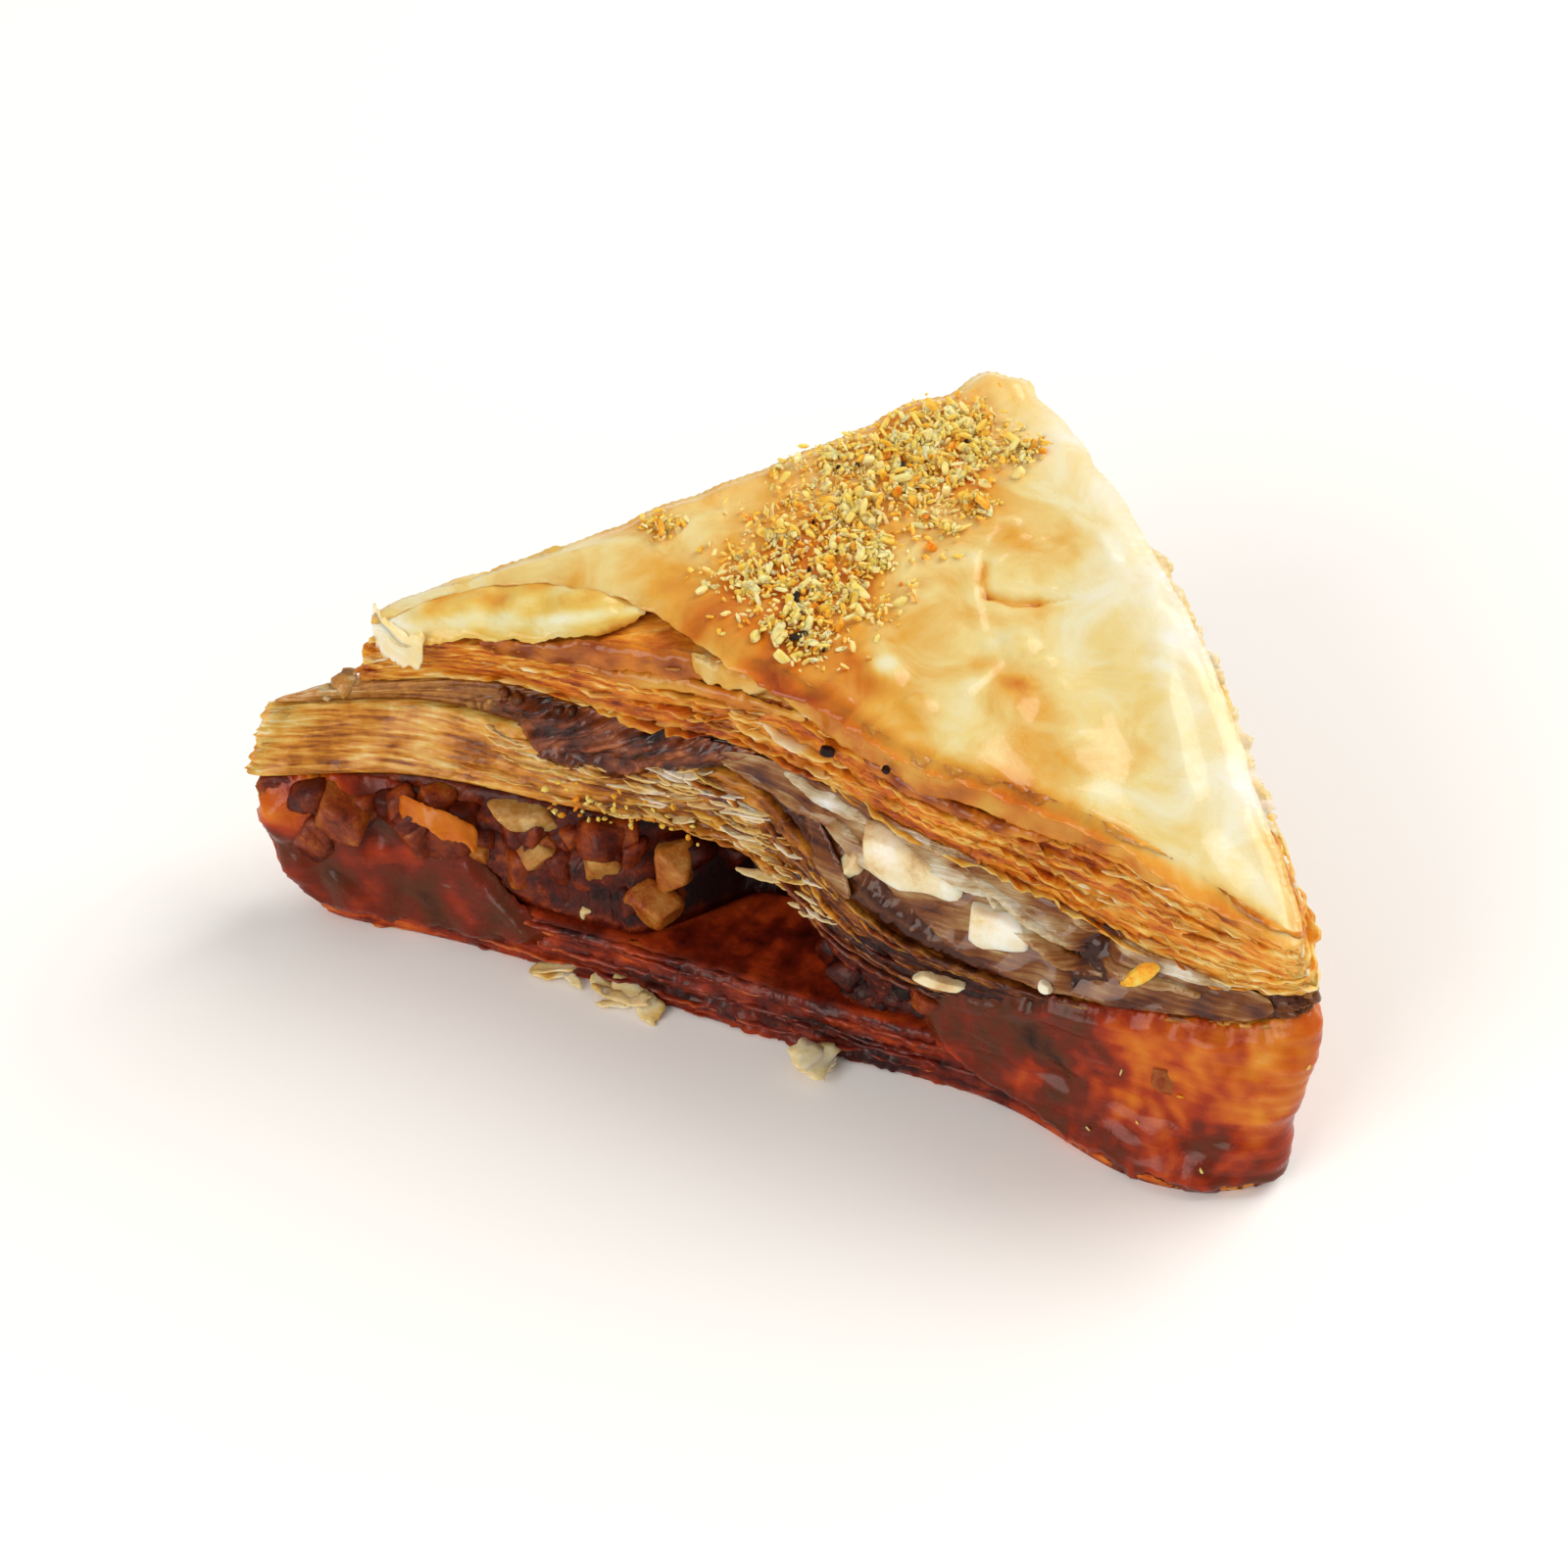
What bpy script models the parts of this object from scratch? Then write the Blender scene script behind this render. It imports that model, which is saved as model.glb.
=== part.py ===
"""A triangle of baklava: a square from the tray cut corner to corner, lying as served.

From the plate up it is a stack of syrup-soaked phyllo, a layer of chopped nuts, a second stack of
phyllo, a second layer of nuts and a crisp golden stack of phyllo with ground nuts on top.
The long cut face is towards -Y and the square corner towards +Y. Lengths are in millimetres until
a mesh is made. The origin is in the middle of the base.
"""

import math

import bmesh
import bpy
import numpy as np

MM = 0.001

# The gap that each layer keeps to the next, and the room a nut keeps to the layers round it.
GAP = 0.3
NUT_ROOM = 0.36

# Moves the plan so that the middle of the finished piece lies over the origin.
PLAN_SHIFT = (0.82, -0.27)

# The levels, from the plate up to the top sheet, and the corners of each before they are softened.
PLATE, FLOOR_SEAM, LOW_SEAM, MIDDLE_SEAM, HIGH_SEAM, CREST = range(6)
CUT_LINE_Y = -18.0
LEFT_CORNER_X = (-37.6, -40.2, -43.6, -43.0, -36.4, -34.4)
RIGHT_CORNER_X = (40.2, 41.0, 41.6, 41.6, 41.4, 40.4)
APEX = ((2.5, 21.6), (2.5, 22.2), (2.5, 22.8), (2.4, 23.4), (2.3, 23.8), (2.2, 24.4))
RIGHT_BULGE = (1.0, 1.4, 1.8, 2.0, 2.2, 2.6)
LEFT_BULGE = (0.4, 0.4, 0.2, -0.2, -0.8, -2.4)
CENTRE = (0.0, -2.0)

# Along the long cut face, from its left corner (0) to its right corner (1).
STATIONS = (0.0, 0.15, 0.30, 0.46, 0.58, 0.72, 0.90, 1.0)
# How far each level is torn back from the cut line there.
SET_BACK = (
    (-1.4, 0.0, 0.0, -0.6, -0.4, -0.2, -3.8, -0.5),
    (-1.6, 0.8, 0.8, 1.0, 0.4, 0.8, -0.8, 0.6),
    (-1.8, 3.0, 3.8, 5.0, 1.0, 0.8, -0.2, 1.2),
    (1.0, 6.4, 5.6, 6.8, 1.0, 0.0, 0.8, 2.2),
    (4.0, 7.4, 6.2, 6.4, 3.6, 3.0, 1.8, 2.6),
    (5.0, 5.0, 7.6, 7.0, 3.4, 4.2, 2.0, -0.8),
)
# How high each level lies there, and at the square corner behind.
FRONT_HEIGHT = (
    (0.0,) * 8,
    (4.2, 4.2, 4.2, 4.0, 4.2, 4.6, 5.4, 5.6),
    (11.6, 12.6, 12.8, 12.0, 8.4, 7.6, 9.2, 10.6),
    (16.6, 17.2, 17.6, 17.2, 13.4, 11.8, 13.2, 14.6),
    (18.0, 19.4, 20.6, 20.8, 19.8, 17.6, 15.6, 16.4),
    (23.6, 25.8, 27.8, 28.6, 28.4, 26.8, 24.6, 23.8),
)
APEX_HEIGHT = (0.0, 4.8, 12.0, 17.6, 22.0, 32.0)

# Sampling of an outline: points along the cut face and along each uncut side.
FRONT_POINTS, SIDE_POINTS = 44, 26
# Passes of smoothing that round its corners, and how many points from one the relief fades out.
CORNER_PASSES = 4
CORNER_REACH = 5.0

# The rings over the top and the foot of a layer, as shares of its outline.
CAP_SHARES = (0.86, 0.62, 0.30)

# The edges of the sheets: how far they wander in and out, and the waves that make it up.
PHYLLO_CRAG, NUT_CRAG = 0.55, 0.5
CRAG_WAVES = (3, 5, 8, 13, 21, 30)
# How far a nut layer's own wall lies behind the edges of the stacks.
NUT_INSET = 0.9

# The rings up the wall of each layer.
BOTTOM_RINGS, LOWER_RINGS, MIDDLE_RINGS, UPPER_RINGS, TOP_RINGS = 5, 4, 6, 3, 6

# The top sheet, with its torn front edge between its own stations.
SHEET_THICK = 0.6
SHEET_BITE = 1.6
SHEET_FOOT_SHARE = 0.95
SHEET_CAP_SHARES = (0.88, 0.68, 0.36)
SHEET_OVERHANG, SHEET_FRAY = 0.5, 0.45
TEAR_STATIONS = (0.0, 0.09, 0.16, 0.24, 0.29, 0.33, 0.38, 0.44, 0.50, 0.58, 0.72, 0.90, 1.0)
TEAR_SET_BACK = (4.0, 8.6, 11.0, 11.0, 11.8, 9.2, 6.8, 5.8, 5.0, 2.8, 3.4, 1.2, -1.6)

# Where the lower nuts have fallen out behind the cut face: a rounded pocket.
HOLLOW_AT = (-2.6, -15.8, 8.2)
HOLLOW_RADII = (7.4, 8.4, 6.4)

# The nuts that show in the cut face: place, then length, depth and height.
LOWER_NUTS = (
    ((-9.2, -12.9, 9.2), (3.6, 4.6, 5.4)),
    ((-11.2, -13.0, 6.6), (4.2, 4.4, 3.8)),
    ((-15.0, -13.8, 9.2), (3.8, 4.0, 4.2)),
    ((-20.8, -13.4, 10.2), (5.6, 4.4, 3.0)),
    ((-19.6, -14.2, 7.2), (3.6, 4.0, 3.0)),
    ((-26.4, -14.8, 8.8), (3.0, 4.0, 4.0)),
    ((-34.4, -17.4, 8.6), (5.0, 4.6, 4.0)),
    ((12.6, -16.2, 6.3), (5.0, 3.0, 2.0)),
    ((22.0, -16.2, 7.0), (4.0, 3.4, 2.4)),
    ((31.0, -17.4, 7.6), (4.4, 3.6, 2.6)),
)
UPPER_NUTS = (
    ((9.6, -14.2, 16.3), (9.4, 5.4, 5.0)),
    ((16.8, -14.0, 14.7), (4.8, 4.2, 4.0)),
    ((5.0, -13.8, 16.6), (2.4, 3.0, 3.4)),
    ((26.4, -14.6, 14.3), (3.4, 3.0, 2.0)),
)
# The nuts round the two uncut sides: how many, and their size from smallest to largest.
LOWER_SIDE_NUTS, LOWER_SIDE_SIZE = 12, (3.0, 5.0)
UPPER_SIDE_NUTS, UPPER_SIDE_SIZE = 9, (1.8, 3.0)
SIDE_NUT_MARGIN = 2
SIDE_NUT_SUNK = 0.35
SIDE_NUT_LEVEL = (0.35, 0.65)

# How uneven a chopped piece is: its corners, its proportions and its turn in plan, in radians.
CHOPPED_CORNERS = (0.82, 1.12)
CHOPPED_SIZES = (0.78, 1.12)
CHOPPED_TURN = 0.5

# Ground nuts on top: a band from the middle of the tear to the square corner.
CRUMBS = 60
CRUMB_BAND = ((-0.5, -8.5), (-4.2, -2.6), (-4.4, 3.0), (-0.6, 9.4), (2.4, 17.2))
CRUMB_SPREAD = (2.0, 6.0, 6.6, 5.0, 3.6)
CRUMB_SPREAD_BACK = 0.6
CRUMB_SIZE = (1.2, 2.2)
CRUMB_STAND = 0.12

# Flakes that have come loose at the foot of the cut face: place, then size.
FOOT_FLAKES = (
    ((4.6, -20.2, 1.1), (5.2, 6.4, 2.2)),
    ((-10.8, -18.8, 0.9), (7.4, 3.8, 1.8)),
)


def clear_scene():
    for old in list(bpy.data.objects):
        bpy.data.objects.remove(old, do_unlink=True)


def along(stations, values, share):
    """A smooth curve through the values at their stations."""
    stations = np.asarray(stations, float)
    values = np.asarray(values, float)
    slopes = np.gradient(values, stations)
    share = np.clip(share, stations[0], stations[-1])
    left = np.clip(np.searchsorted(stations, share, side="right") - 1, 0, len(stations) - 2)
    span = stations[left + 1] - stations[left]
    t = (share - stations[left]) / span
    start = (1 + 2 * t) * (1 - t) ** 2 * values[left] + t * (1 - t) ** 2 * span * slopes[left]
    end = t * t * (3 - 2 * t) * values[left + 1] + t * t * (t - 1) * span * slopes[left + 1]
    return start + end


def eased(t):
    t = np.clip(t, 0.0, 1.0)
    return t * t * (3 - 2 * t)


def height(level, x, y):
    """How high a level lies at a point of the plan: its front profile, easing to its height behind."""
    share = (x - LEFT_CORNER_X[FLOOR_SEAM]) / (RIGHT_CORNER_X[FLOOR_SEAM] - LEFT_CORNER_X[FLOOR_SEAM])
    front = along(STATIONS, FRONT_HEIGHT[level], share)
    depth = (y - CUT_LINE_Y) / (APEX[level][1] - CUT_LINE_Y)
    return front + (APEX_HEIGHT[level] - front) * eased(depth)


def side_line(start, end, bulge):
    """Points from one corner to the next, bowed out to the right of the way from start to end."""
    start, end = np.array(start), np.array(end)
    t = (np.arange(SIDE_POINTS) + 0.5) / SIDE_POINTS
    way = end - start
    outward = np.array([way[1], -way[0]]) / np.hypot(*way)
    bow = bulge * np.sin(math.pi * t)
    return start + t[:, None] * way + bow[:, None] * outward


def plan_ring(level, stations=STATIONS, set_back=None):
    """The outline of a level in plan, anticlockwise from its left corner, with soft corners."""
    set_back = SET_BACK[level] if set_back is None else set_back
    share = (np.arange(FRONT_POINTS) + 0.5) / FRONT_POINTS
    x = LEFT_CORNER_X[level] + share * (RIGHT_CORNER_X[level] - LEFT_CORNER_X[level])
    front = np.stack([x, CUT_LINE_Y + along(stations, set_back, share)], axis=1)
    left = (LEFT_CORNER_X[level], CUT_LINE_Y + set_back[0])
    right = (RIGHT_CORNER_X[level], CUT_LINE_Y + set_back[-1])
    right_side = side_line(right, APEX[level], RIGHT_BULGE[level])
    left_side = side_line(APEX[level], left, LEFT_BULGE[level])
    ring = np.concatenate([front, right_side, left_side])
    for _ in range(CORNER_PASSES):
        ring = (np.roll(ring, 1, 0) + 2 * ring + np.roll(ring, -1, 0)) / 4
    return ring


def away_from_corners():
    """0 at a ring's corners, 1 away from them: how much relief a narrow corner can take."""
    corners = (-0.5, FRONT_POINTS - 0.5, FRONT_POINTS + SIDE_POINTS - 0.5)
    total = FRONT_POINTS + 2 * SIDE_POINTS
    index = np.arange(total)
    apart = [np.abs((index - corner + total / 2) % total - total / 2) for corner in corners]
    return eased((np.min(apart, axis=0) - 0.5) / CORNER_REACH)


def wobble(rng, points):
    """A smooth random wave round a ring, about 1 high."""
    turn = np.arange(points) / points * 2 * math.pi
    wave = sum(
        rng.normal() * np.sin(n * turn + rng.uniform(0, 2 * math.pi)) / math.sqrt(n)
        for n in CRAG_WAVES
    )
    return wave / np.abs(wave).max()


def outward_of(ring):
    """The way out of a ring at each of its points."""
    way = np.roll(ring, -1, 0) - np.roll(ring, 1, 0)
    return np.stack([way[:, 1], -way[:, 0]], axis=1) / np.hypot(*way.T)[:, None]


class Shell:
    """A closed mesh put together from rings, each joined to the last."""

    def __init__(self):
        self.points, self.faces, self.count = [], [], 0

    def ring(self, plan, z):
        first = self.count
        self.points.append(np.column_stack([plan, np.broadcast_to(z, len(plan))]))
        self.count += len(plan)
        return np.arange(first, self.count)

    def join(self, outer, inner, flip=False):
        """Faces between two rings, the second of as many points or of half as many."""
        n = len(inner)
        faces = []
        for j in range(n):
            k = (j + 1) % n
            if len(outer) == n:
                faces += [(outer[j], outer[k], inner[k]), (outer[j], inner[k], inner[j])]
                continue
            a, b, c = outer[2 * j], outer[2 * j + 1], outer[(2 * j + 2) % (2 * n)]
            faces += [(a, b, inner[j]), (b, c, inner[k]), (b, inner[k], inner[j])]
        self.faces += [face[::-1] if flip else face for face in faces]

    def cap(self, edge, plan, surface, flip, shares=CAP_SHARES):
        """Closes the shell over a level: rings that step in from its edge, with fewer points each."""
        last, outline = edge, plan
        for share in shares:
            outline = outline[::2]
            inner = np.array(CENTRE) + (outline - np.array(CENTRE)) * share
            inside = self.ring(inner, surface(*inner.T))
            self.join(last, inside, flip)
            last = inside
        middle = self.ring(np.array([CENTRE]), surface(*np.array([CENTRE]).T))[0]
        fan = [(last[j], last[(j + 1) % len(last)], middle) for j in range(len(last))]
        self.faces += [face[::-1] if flip else face for face in fan]

    def mesh(self, name):
        points = np.concatenate(self.points)
        points[:, :2] += PLAN_SHIFT
        mesh = bpy.data.meshes.new(name)
        faces = [tuple(int(i) for i in face) for face in self.faces]
        mesh.from_pydata((points * MM).tolist(), [], faces)
        mesh.update()
        return mesh


def object_of(name, mesh):
    obj = bpy.data.objects.new(name, mesh)
    bpy.context.scene.collection.objects.link(obj)
    return obj


def slab(name, low, high, seed, crag, rings, inset=0.0):
    """The food between two levels, with its side walls ridged in and out like the edges of sheets."""
    rng = np.random.default_rng(seed)
    low_plan, high_plan = plan_ring(low), plan_ring(high)

    def under(x, y):
        return np.where(low == PLATE, 0.0, height(low, x, y) + GAP / 2)

    def over(x, y):
        return height(high, x, y) - GAP / 2

    shell = Shell()
    last = shell.ring(low_plan, under(*low_plan.T))
    shell.cap(last, low_plan, under, flip=True)
    for k in range(1, rings):
        t = k / rings
        plan = low_plan + (high_plan - low_plan) * t
        ridge = crag * (k % 2 - 0.5 + wobble(rng, len(plan))) - inset
        plan = plan + outward_of(plan) * (ridge * away_from_corners())[:, None]
        low_z, high_z = under(*plan.T), over(*plan.T)
        this = shell.ring(plan, low_z + (high_z - low_z) * t)
        shell.join(last, this)
        last = this
    top = shell.ring(high_plan, over(*high_plan.T))
    shell.join(last, top)
    shell.cap(top, high_plan, over, flip=False)
    return object_of(name, shell.mesh(name))


def nut_corners():
    """The corners of an icosahedron: a chopped nut before it is made uneven."""
    golden = (1 + math.sqrt(5)) / 2
    corners = []
    for a in (-1, 1):
        for b in (-golden, golden):
            corners += [(0, a, b), (a, b, 0), (b, 0, a)]
    return np.array(corners, float) / math.hypot(1, golden)


def lump(rng, centre, size, low=None, high=None):
    """A chopped piece with few sides, its corners jittered, kept between two levels."""
    corners = nut_corners()
    corners = corners * rng.uniform(*CHOPPED_CORNERS, (len(corners), 1))
    turn = rng.uniform(-CHOPPED_TURN, CHOPPED_TURN)
    spin = np.array([[math.cos(turn), -math.sin(turn)], [math.sin(turn), math.cos(turn)]])
    points = corners * np.array(size) / 2
    points[:, :2] = points[:, :2] @ spin.T
    points += np.array(centre)
    if low is not None:
        floor = height(low, points[:, 0], points[:, 1]) + NUT_ROOM
        ceiling = height(high, points[:, 0], points[:, 1]) - NUT_ROOM
        points[:, 2] = np.clip(points[:, 2], floor, ceiling)
    points[:, 2] = np.maximum(points[:, 2], 0.0)
    points[:, :2] += PLAN_SHIFT
    mesh = bpy.data.meshes.new("lump")
    mesh.from_pydata((points * MM).tolist(), [], [])
    return hull_object(mesh)


def hull_object(mesh):
    """An object of the convex hull of a mesh's points."""
    work = bmesh.new()
    work.from_mesh(mesh)
    made = bmesh.ops.convex_hull(work, input=work.verts)
    left_over = set(made["geom_interior"] + made["geom_unused"])
    spare = [v for v in left_over if isinstance(v, bmesh.types.BMVert)]
    bmesh.ops.delete(work, geom=spare, context="VERTS")
    bmesh.ops.triangulate(work, faces=work.faces)
    bmesh.ops.recalc_face_normals(work, faces=work.faces)
    work.to_mesh(mesh)
    work.free()
    return object_of("lump", mesh)


def apply_boolean(obj, operation, pieces):
    """Joins or cuts with a group of pieces at once, then removes them."""
    group = bpy.data.collections.new("pieces")
    bpy.context.scene.collection.children.link(group)
    for piece in pieces:
        bpy.context.scene.collection.objects.unlink(piece)
        group.objects.link(piece)
    modifier = obj.modifiers.new("join", "BOOLEAN")
    modifier.operation = operation
    modifier.operand_type = "COLLECTION"
    modifier.collection = group
    modifier.solver = "MANIFOLD"
    with bpy.context.temp_override(object=obj):
        bpy.ops.object.modifier_apply(modifier=modifier.name)
    for piece in pieces:
        bpy.data.objects.remove(piece, do_unlink=True)
    bpy.data.collections.remove(group)
    drop_scraps(obj.data)


def drop_scraps(mesh):
    """Keeps a mesh's largest body, without the slivers that a join can seal in."""
    work = bmesh.new()
    work.from_mesh(mesh)
    left = set(work.verts)
    bodies = []
    while left:
        body, edge = set(), {left.pop()}
        while edge:
            body |= edge
            edge = {e.other_vert(v) for v in edge for e in v.link_edges} - body
        left -= body
        bodies.append(body)
    bodies.sort(key=len)
    bmesh.ops.delete(work, geom=[v for body in bodies[:-1] for v in body], context="VERTS")
    work.to_mesh(mesh)
    work.free()


def hollow():
    """The pocket that fallen nuts leave: a stretched sphere."""
    mesh = bpy.data.meshes.new("hollow")
    work = bmesh.new()
    bmesh.ops.create_icosphere(work, subdivisions=2, radius=1.0)
    middle = np.array(HOLLOW_AT) + (*PLAN_SHIFT, 0.0)
    for v in work.verts:
        v.co = (np.array(v.co) * HOLLOW_RADII + middle) * MM
    work.to_mesh(mesh)
    work.free()
    return object_of("hollow", mesh)


def side_nuts(rng, low, high, count, sizes):
    """Chopped nuts round the two sides that weren't cut, half sunk in the layer."""
    plan = (plan_ring(low) + plan_ring(high)) / 2
    inward = -outward_of(plan)
    first, last = FRONT_POINTS + SIDE_NUT_MARGIN, len(plan) - 1 - SIDE_NUT_MARGIN
    pieces = []
    for place in np.linspace(first, last, count):
        i = int(round(place + rng.uniform(-1, 1)))
        size = rng.uniform(*sizes)
        x, y = plan[i] + inward[i] * size * SIDE_NUT_SUNK
        floor, ceiling = height(low, x, y), height(high, x, y)
        z = floor + (ceiling - floor) * rng.uniform(*SIDE_NUT_LEVEL)
        shape = size * rng.uniform(*CHOPPED_SIZES, 3)
        pieces.append(lump(rng, (x, y, z), shape, low, high))
    return pieces


def nuts_lower():
    """The thick lower nut layer: a core with the pocket cut out and the nuts that show fused on."""
    layer = slab("nuts_lower", FLOOR_SEAM, LOW_SEAM, 21, NUT_CRAG, LOWER_RINGS, NUT_INSET)
    apply_boolean(layer, "DIFFERENCE", [hollow()])
    rng = np.random.default_rng(23)
    pieces = [lump(rng, place, size, FLOOR_SEAM, LOW_SEAM) for place, size in LOWER_NUTS]
    pieces += side_nuts(rng, FLOOR_SEAM, LOW_SEAM, LOWER_SIDE_NUTS, LOWER_SIDE_SIZE)
    apply_boolean(layer, "UNION", pieces)
    return layer


def nuts_upper():
    """The upper nut layer, thin on the left and thick on the right, with the nuts fused on."""
    layer = slab("nuts_upper", MIDDLE_SEAM, HIGH_SEAM, 22, NUT_CRAG, UPPER_RINGS, NUT_INSET)
    rng = np.random.default_rng(24)
    pieces = [lump(rng, place, size, MIDDLE_SEAM, HIGH_SEAM) for place, size in UPPER_NUTS]
    pieces += side_nuts(rng, MIDDLE_SEAM, HIGH_SEAM, UPPER_SIDE_NUTS, UPPER_SIDE_SIZE)
    apply_boolean(layer, "UNION", pieces)
    return layer


def top_sheet():
    """The crisp sheet that covers the piece, torn back on the left of the cut face."""
    rng = np.random.default_rng(42)
    plan = plan_ring(CREST, TEAR_STATIONS, TEAR_SET_BACK)
    fray = SHEET_OVERHANG + SHEET_FRAY * wobble(rng, len(plan))
    plan = plan + outward_of(plan) * fray[:, None]

    def under(x, y):
        return height(CREST, x, y) - SHEET_THICK - SHEET_BITE

    def over(x, y):
        return height(CREST, x, y)

    shell = Shell()
    foot = shell.ring(plan, over(*plan.T) - SHEET_THICK)
    inner = np.array(CENTRE) + (plan - np.array(CENTRE)) * SHEET_FOOT_SHARE
    sunk = shell.ring(inner, under(*inner.T))
    shell.join(foot, sunk, flip=True)
    shell.cap(sunk, inner, under, flip=True)
    edge = shell.ring(plan, over(*plan.T))
    shell.join(foot, edge)
    shell.cap(edge, plan, over, flip=False, shares=SHEET_CAP_SHARES)
    return object_of("top_sheet", shell.mesh("top_sheet"))


def crumbs():
    """Ground nuts scattered along a band on the top sheet, thickest in its middle."""
    rng = np.random.default_rng(45)
    band = np.array(CRUMB_BAND)
    pieces = []
    for step in np.linspace(0, len(band) - 1, CRUMBS):
        here = [np.interp(step, range(len(band)), band[:, axis]) for axis in (0, 1)]
        spread = np.interp(step, range(len(band)), CRUMB_SPREAD)
        x = here[0] + rng.uniform(-1, 1) * spread
        y = here[1] + rng.uniform(-1, 1) * spread * CRUMB_SPREAD_BACK
        size = rng.uniform(*CRUMB_SIZE)
        z = height(CREST, x, y) + size * CRUMB_STAND
        shape = size * rng.uniform(*CHOPPED_SIZES, 3)
        pieces.append(lump(rng, (x, y, z), shape))
    return pieces


def phyllo_top():
    """The upper stack, with the torn top sheet and the ground nuts fused on."""
    stack = slab("phyllo_top", HIGH_SEAM, CREST, 41, PHYLLO_CRAG, TOP_RINGS)
    for v in stack.data.vertices:
        x, y = v.co.x / MM - PLAN_SHIFT[0], v.co.y / MM - PLAN_SHIFT[1]
        low, high = height(HIGH_SEAM, x, y) + GAP / 2, height(CREST, x, y)
        share = (v.co.z / MM - low) / (high - low)
        v.co.z -= MM * SHEET_THICK * max(0.0, share)
    apply_boolean(stack, "UNION", [top_sheet(), *crumbs()])
    return stack


def phyllo_middle():
    """The stack between the two nut layers, sagging where the lower nuts have fallen out."""
    return slab("phyllo_middle", LOW_SEAM, MIDDLE_SEAM, 31, PHYLLO_CRAG, MIDDLE_RINGS)


def phyllo_bottom():
    """The lowest stack, flat underneath, with the loose flakes at its foot."""
    stack = slab("phyllo_bottom", PLATE, FLOOR_SEAM, 11, PHYLLO_CRAG, BOTTOM_RINGS)
    rng = np.random.default_rng(12)
    apply_boolean(stack, "UNION", [lump(rng, place, size) for place, size in FOOT_FLAKES])
    return stack


def finish(obj, name, colour, roughness):
    material = bpy.data.materials.new(name)
    material.use_nodes = True
    shader = material.node_tree.nodes["Principled BSDF"]
    shader.inputs["Base Color"].default_value = (*colour, 1.0)
    shader.inputs["Roughness"].default_value = roughness
    shader.inputs["Metallic"].default_value = 0.0
    obj.data.materials.clear()
    obj.data.materials.append(material)


def main():
    clear_scene()
    finish(phyllo_bottom(), "soaked_phyllo", (0.30, 0.07, 0.02), 0.3)
    finish(nuts_lower(), "syrup_nuts", (0.22, 0.06, 0.02), 0.35)
    finish(phyllo_middle(), "baked_phyllo", (0.48, 0.24, 0.07), 0.4)
    finish(nuts_upper(), "pale_nuts", (0.35, 0.15, 0.06), 0.4)
    finish(phyllo_top(), "golden_phyllo", (0.85, 0.56, 0.22), 0.35)


main()
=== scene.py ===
"""The looks of a triangle of baklava, lying as served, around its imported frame.

It goes up from the plate as the cook layers it: soaked phyllo, chopped nuts in syrup, a second stack
of phyllo, more nuts, a crisp golden stack, and ground nuts scattered over the top sheet. Lengths
here are in millimetres until a mesh is made.
"""

import math
from functools import reduce

import bmesh
import bpy
import numpy as np
from mathutils import Euler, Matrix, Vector, noise
from mathutils.geometry import delaunay_2d_cdt


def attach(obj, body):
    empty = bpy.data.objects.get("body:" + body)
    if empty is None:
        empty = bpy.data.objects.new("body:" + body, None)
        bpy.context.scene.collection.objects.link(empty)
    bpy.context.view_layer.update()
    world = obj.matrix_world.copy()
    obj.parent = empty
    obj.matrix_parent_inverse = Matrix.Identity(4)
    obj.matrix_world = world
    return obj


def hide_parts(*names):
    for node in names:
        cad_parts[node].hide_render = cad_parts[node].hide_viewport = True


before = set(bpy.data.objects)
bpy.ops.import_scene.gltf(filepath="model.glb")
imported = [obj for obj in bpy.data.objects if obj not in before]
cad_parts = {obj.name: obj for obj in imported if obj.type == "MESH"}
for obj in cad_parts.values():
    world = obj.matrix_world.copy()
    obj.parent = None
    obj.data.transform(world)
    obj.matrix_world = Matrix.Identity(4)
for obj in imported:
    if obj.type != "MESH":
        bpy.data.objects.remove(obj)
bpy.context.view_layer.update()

# Camera.
# It looks down over the cut face from its right, close up and through a long lens, so the far
# corner of the piece comes out hardly smaller than the near one.
CAMERA_TURN, CAMERA_TILT = math.radians(22.5), math.radians(42.0)
CAMERA_AIM = Vector((-0.00328, -0.00477, 0.012))
CAMERA_AWAY = 0.35
VIEW_WIDTH = 0.115
SENSOR = 36.0

back = Vector((
    math.sin(CAMERA_TURN) * math.cos(CAMERA_TILT),
    -math.cos(CAMERA_TURN) * math.cos(CAMERA_TILT),
    math.sin(CAMERA_TILT),
))
camera = bpy.data.objects.new("camera", bpy.data.cameras.new("camera"))
camera.data.sensor_width = SENSOR
camera.data.lens = SENSOR * CAMERA_AWAY / VIEW_WIDTH
camera.data.clip_start = 0.01
camera.location = CAMERA_AIM + back * CAMERA_AWAY
camera.rotation_euler = back.to_track_quat("Z", "Y").to_euler()
bpy.context.scene.collection.objects.link(camera)
bpy.context.scene.camera = camera

# The bottom stack.
# A dozen sheets of phyllo that sat in the syrup: soaked through, glossy, and nearly glued
# together. The top one shows as the floor of the pocket where nuts have fallen out.
MM = 0.001
# How far apart one layer and the next are kept, and from here to the frame's origin in plan.
GAP = 0.3
PLAN_SHIFT = (0.82, -0.27)

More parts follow.
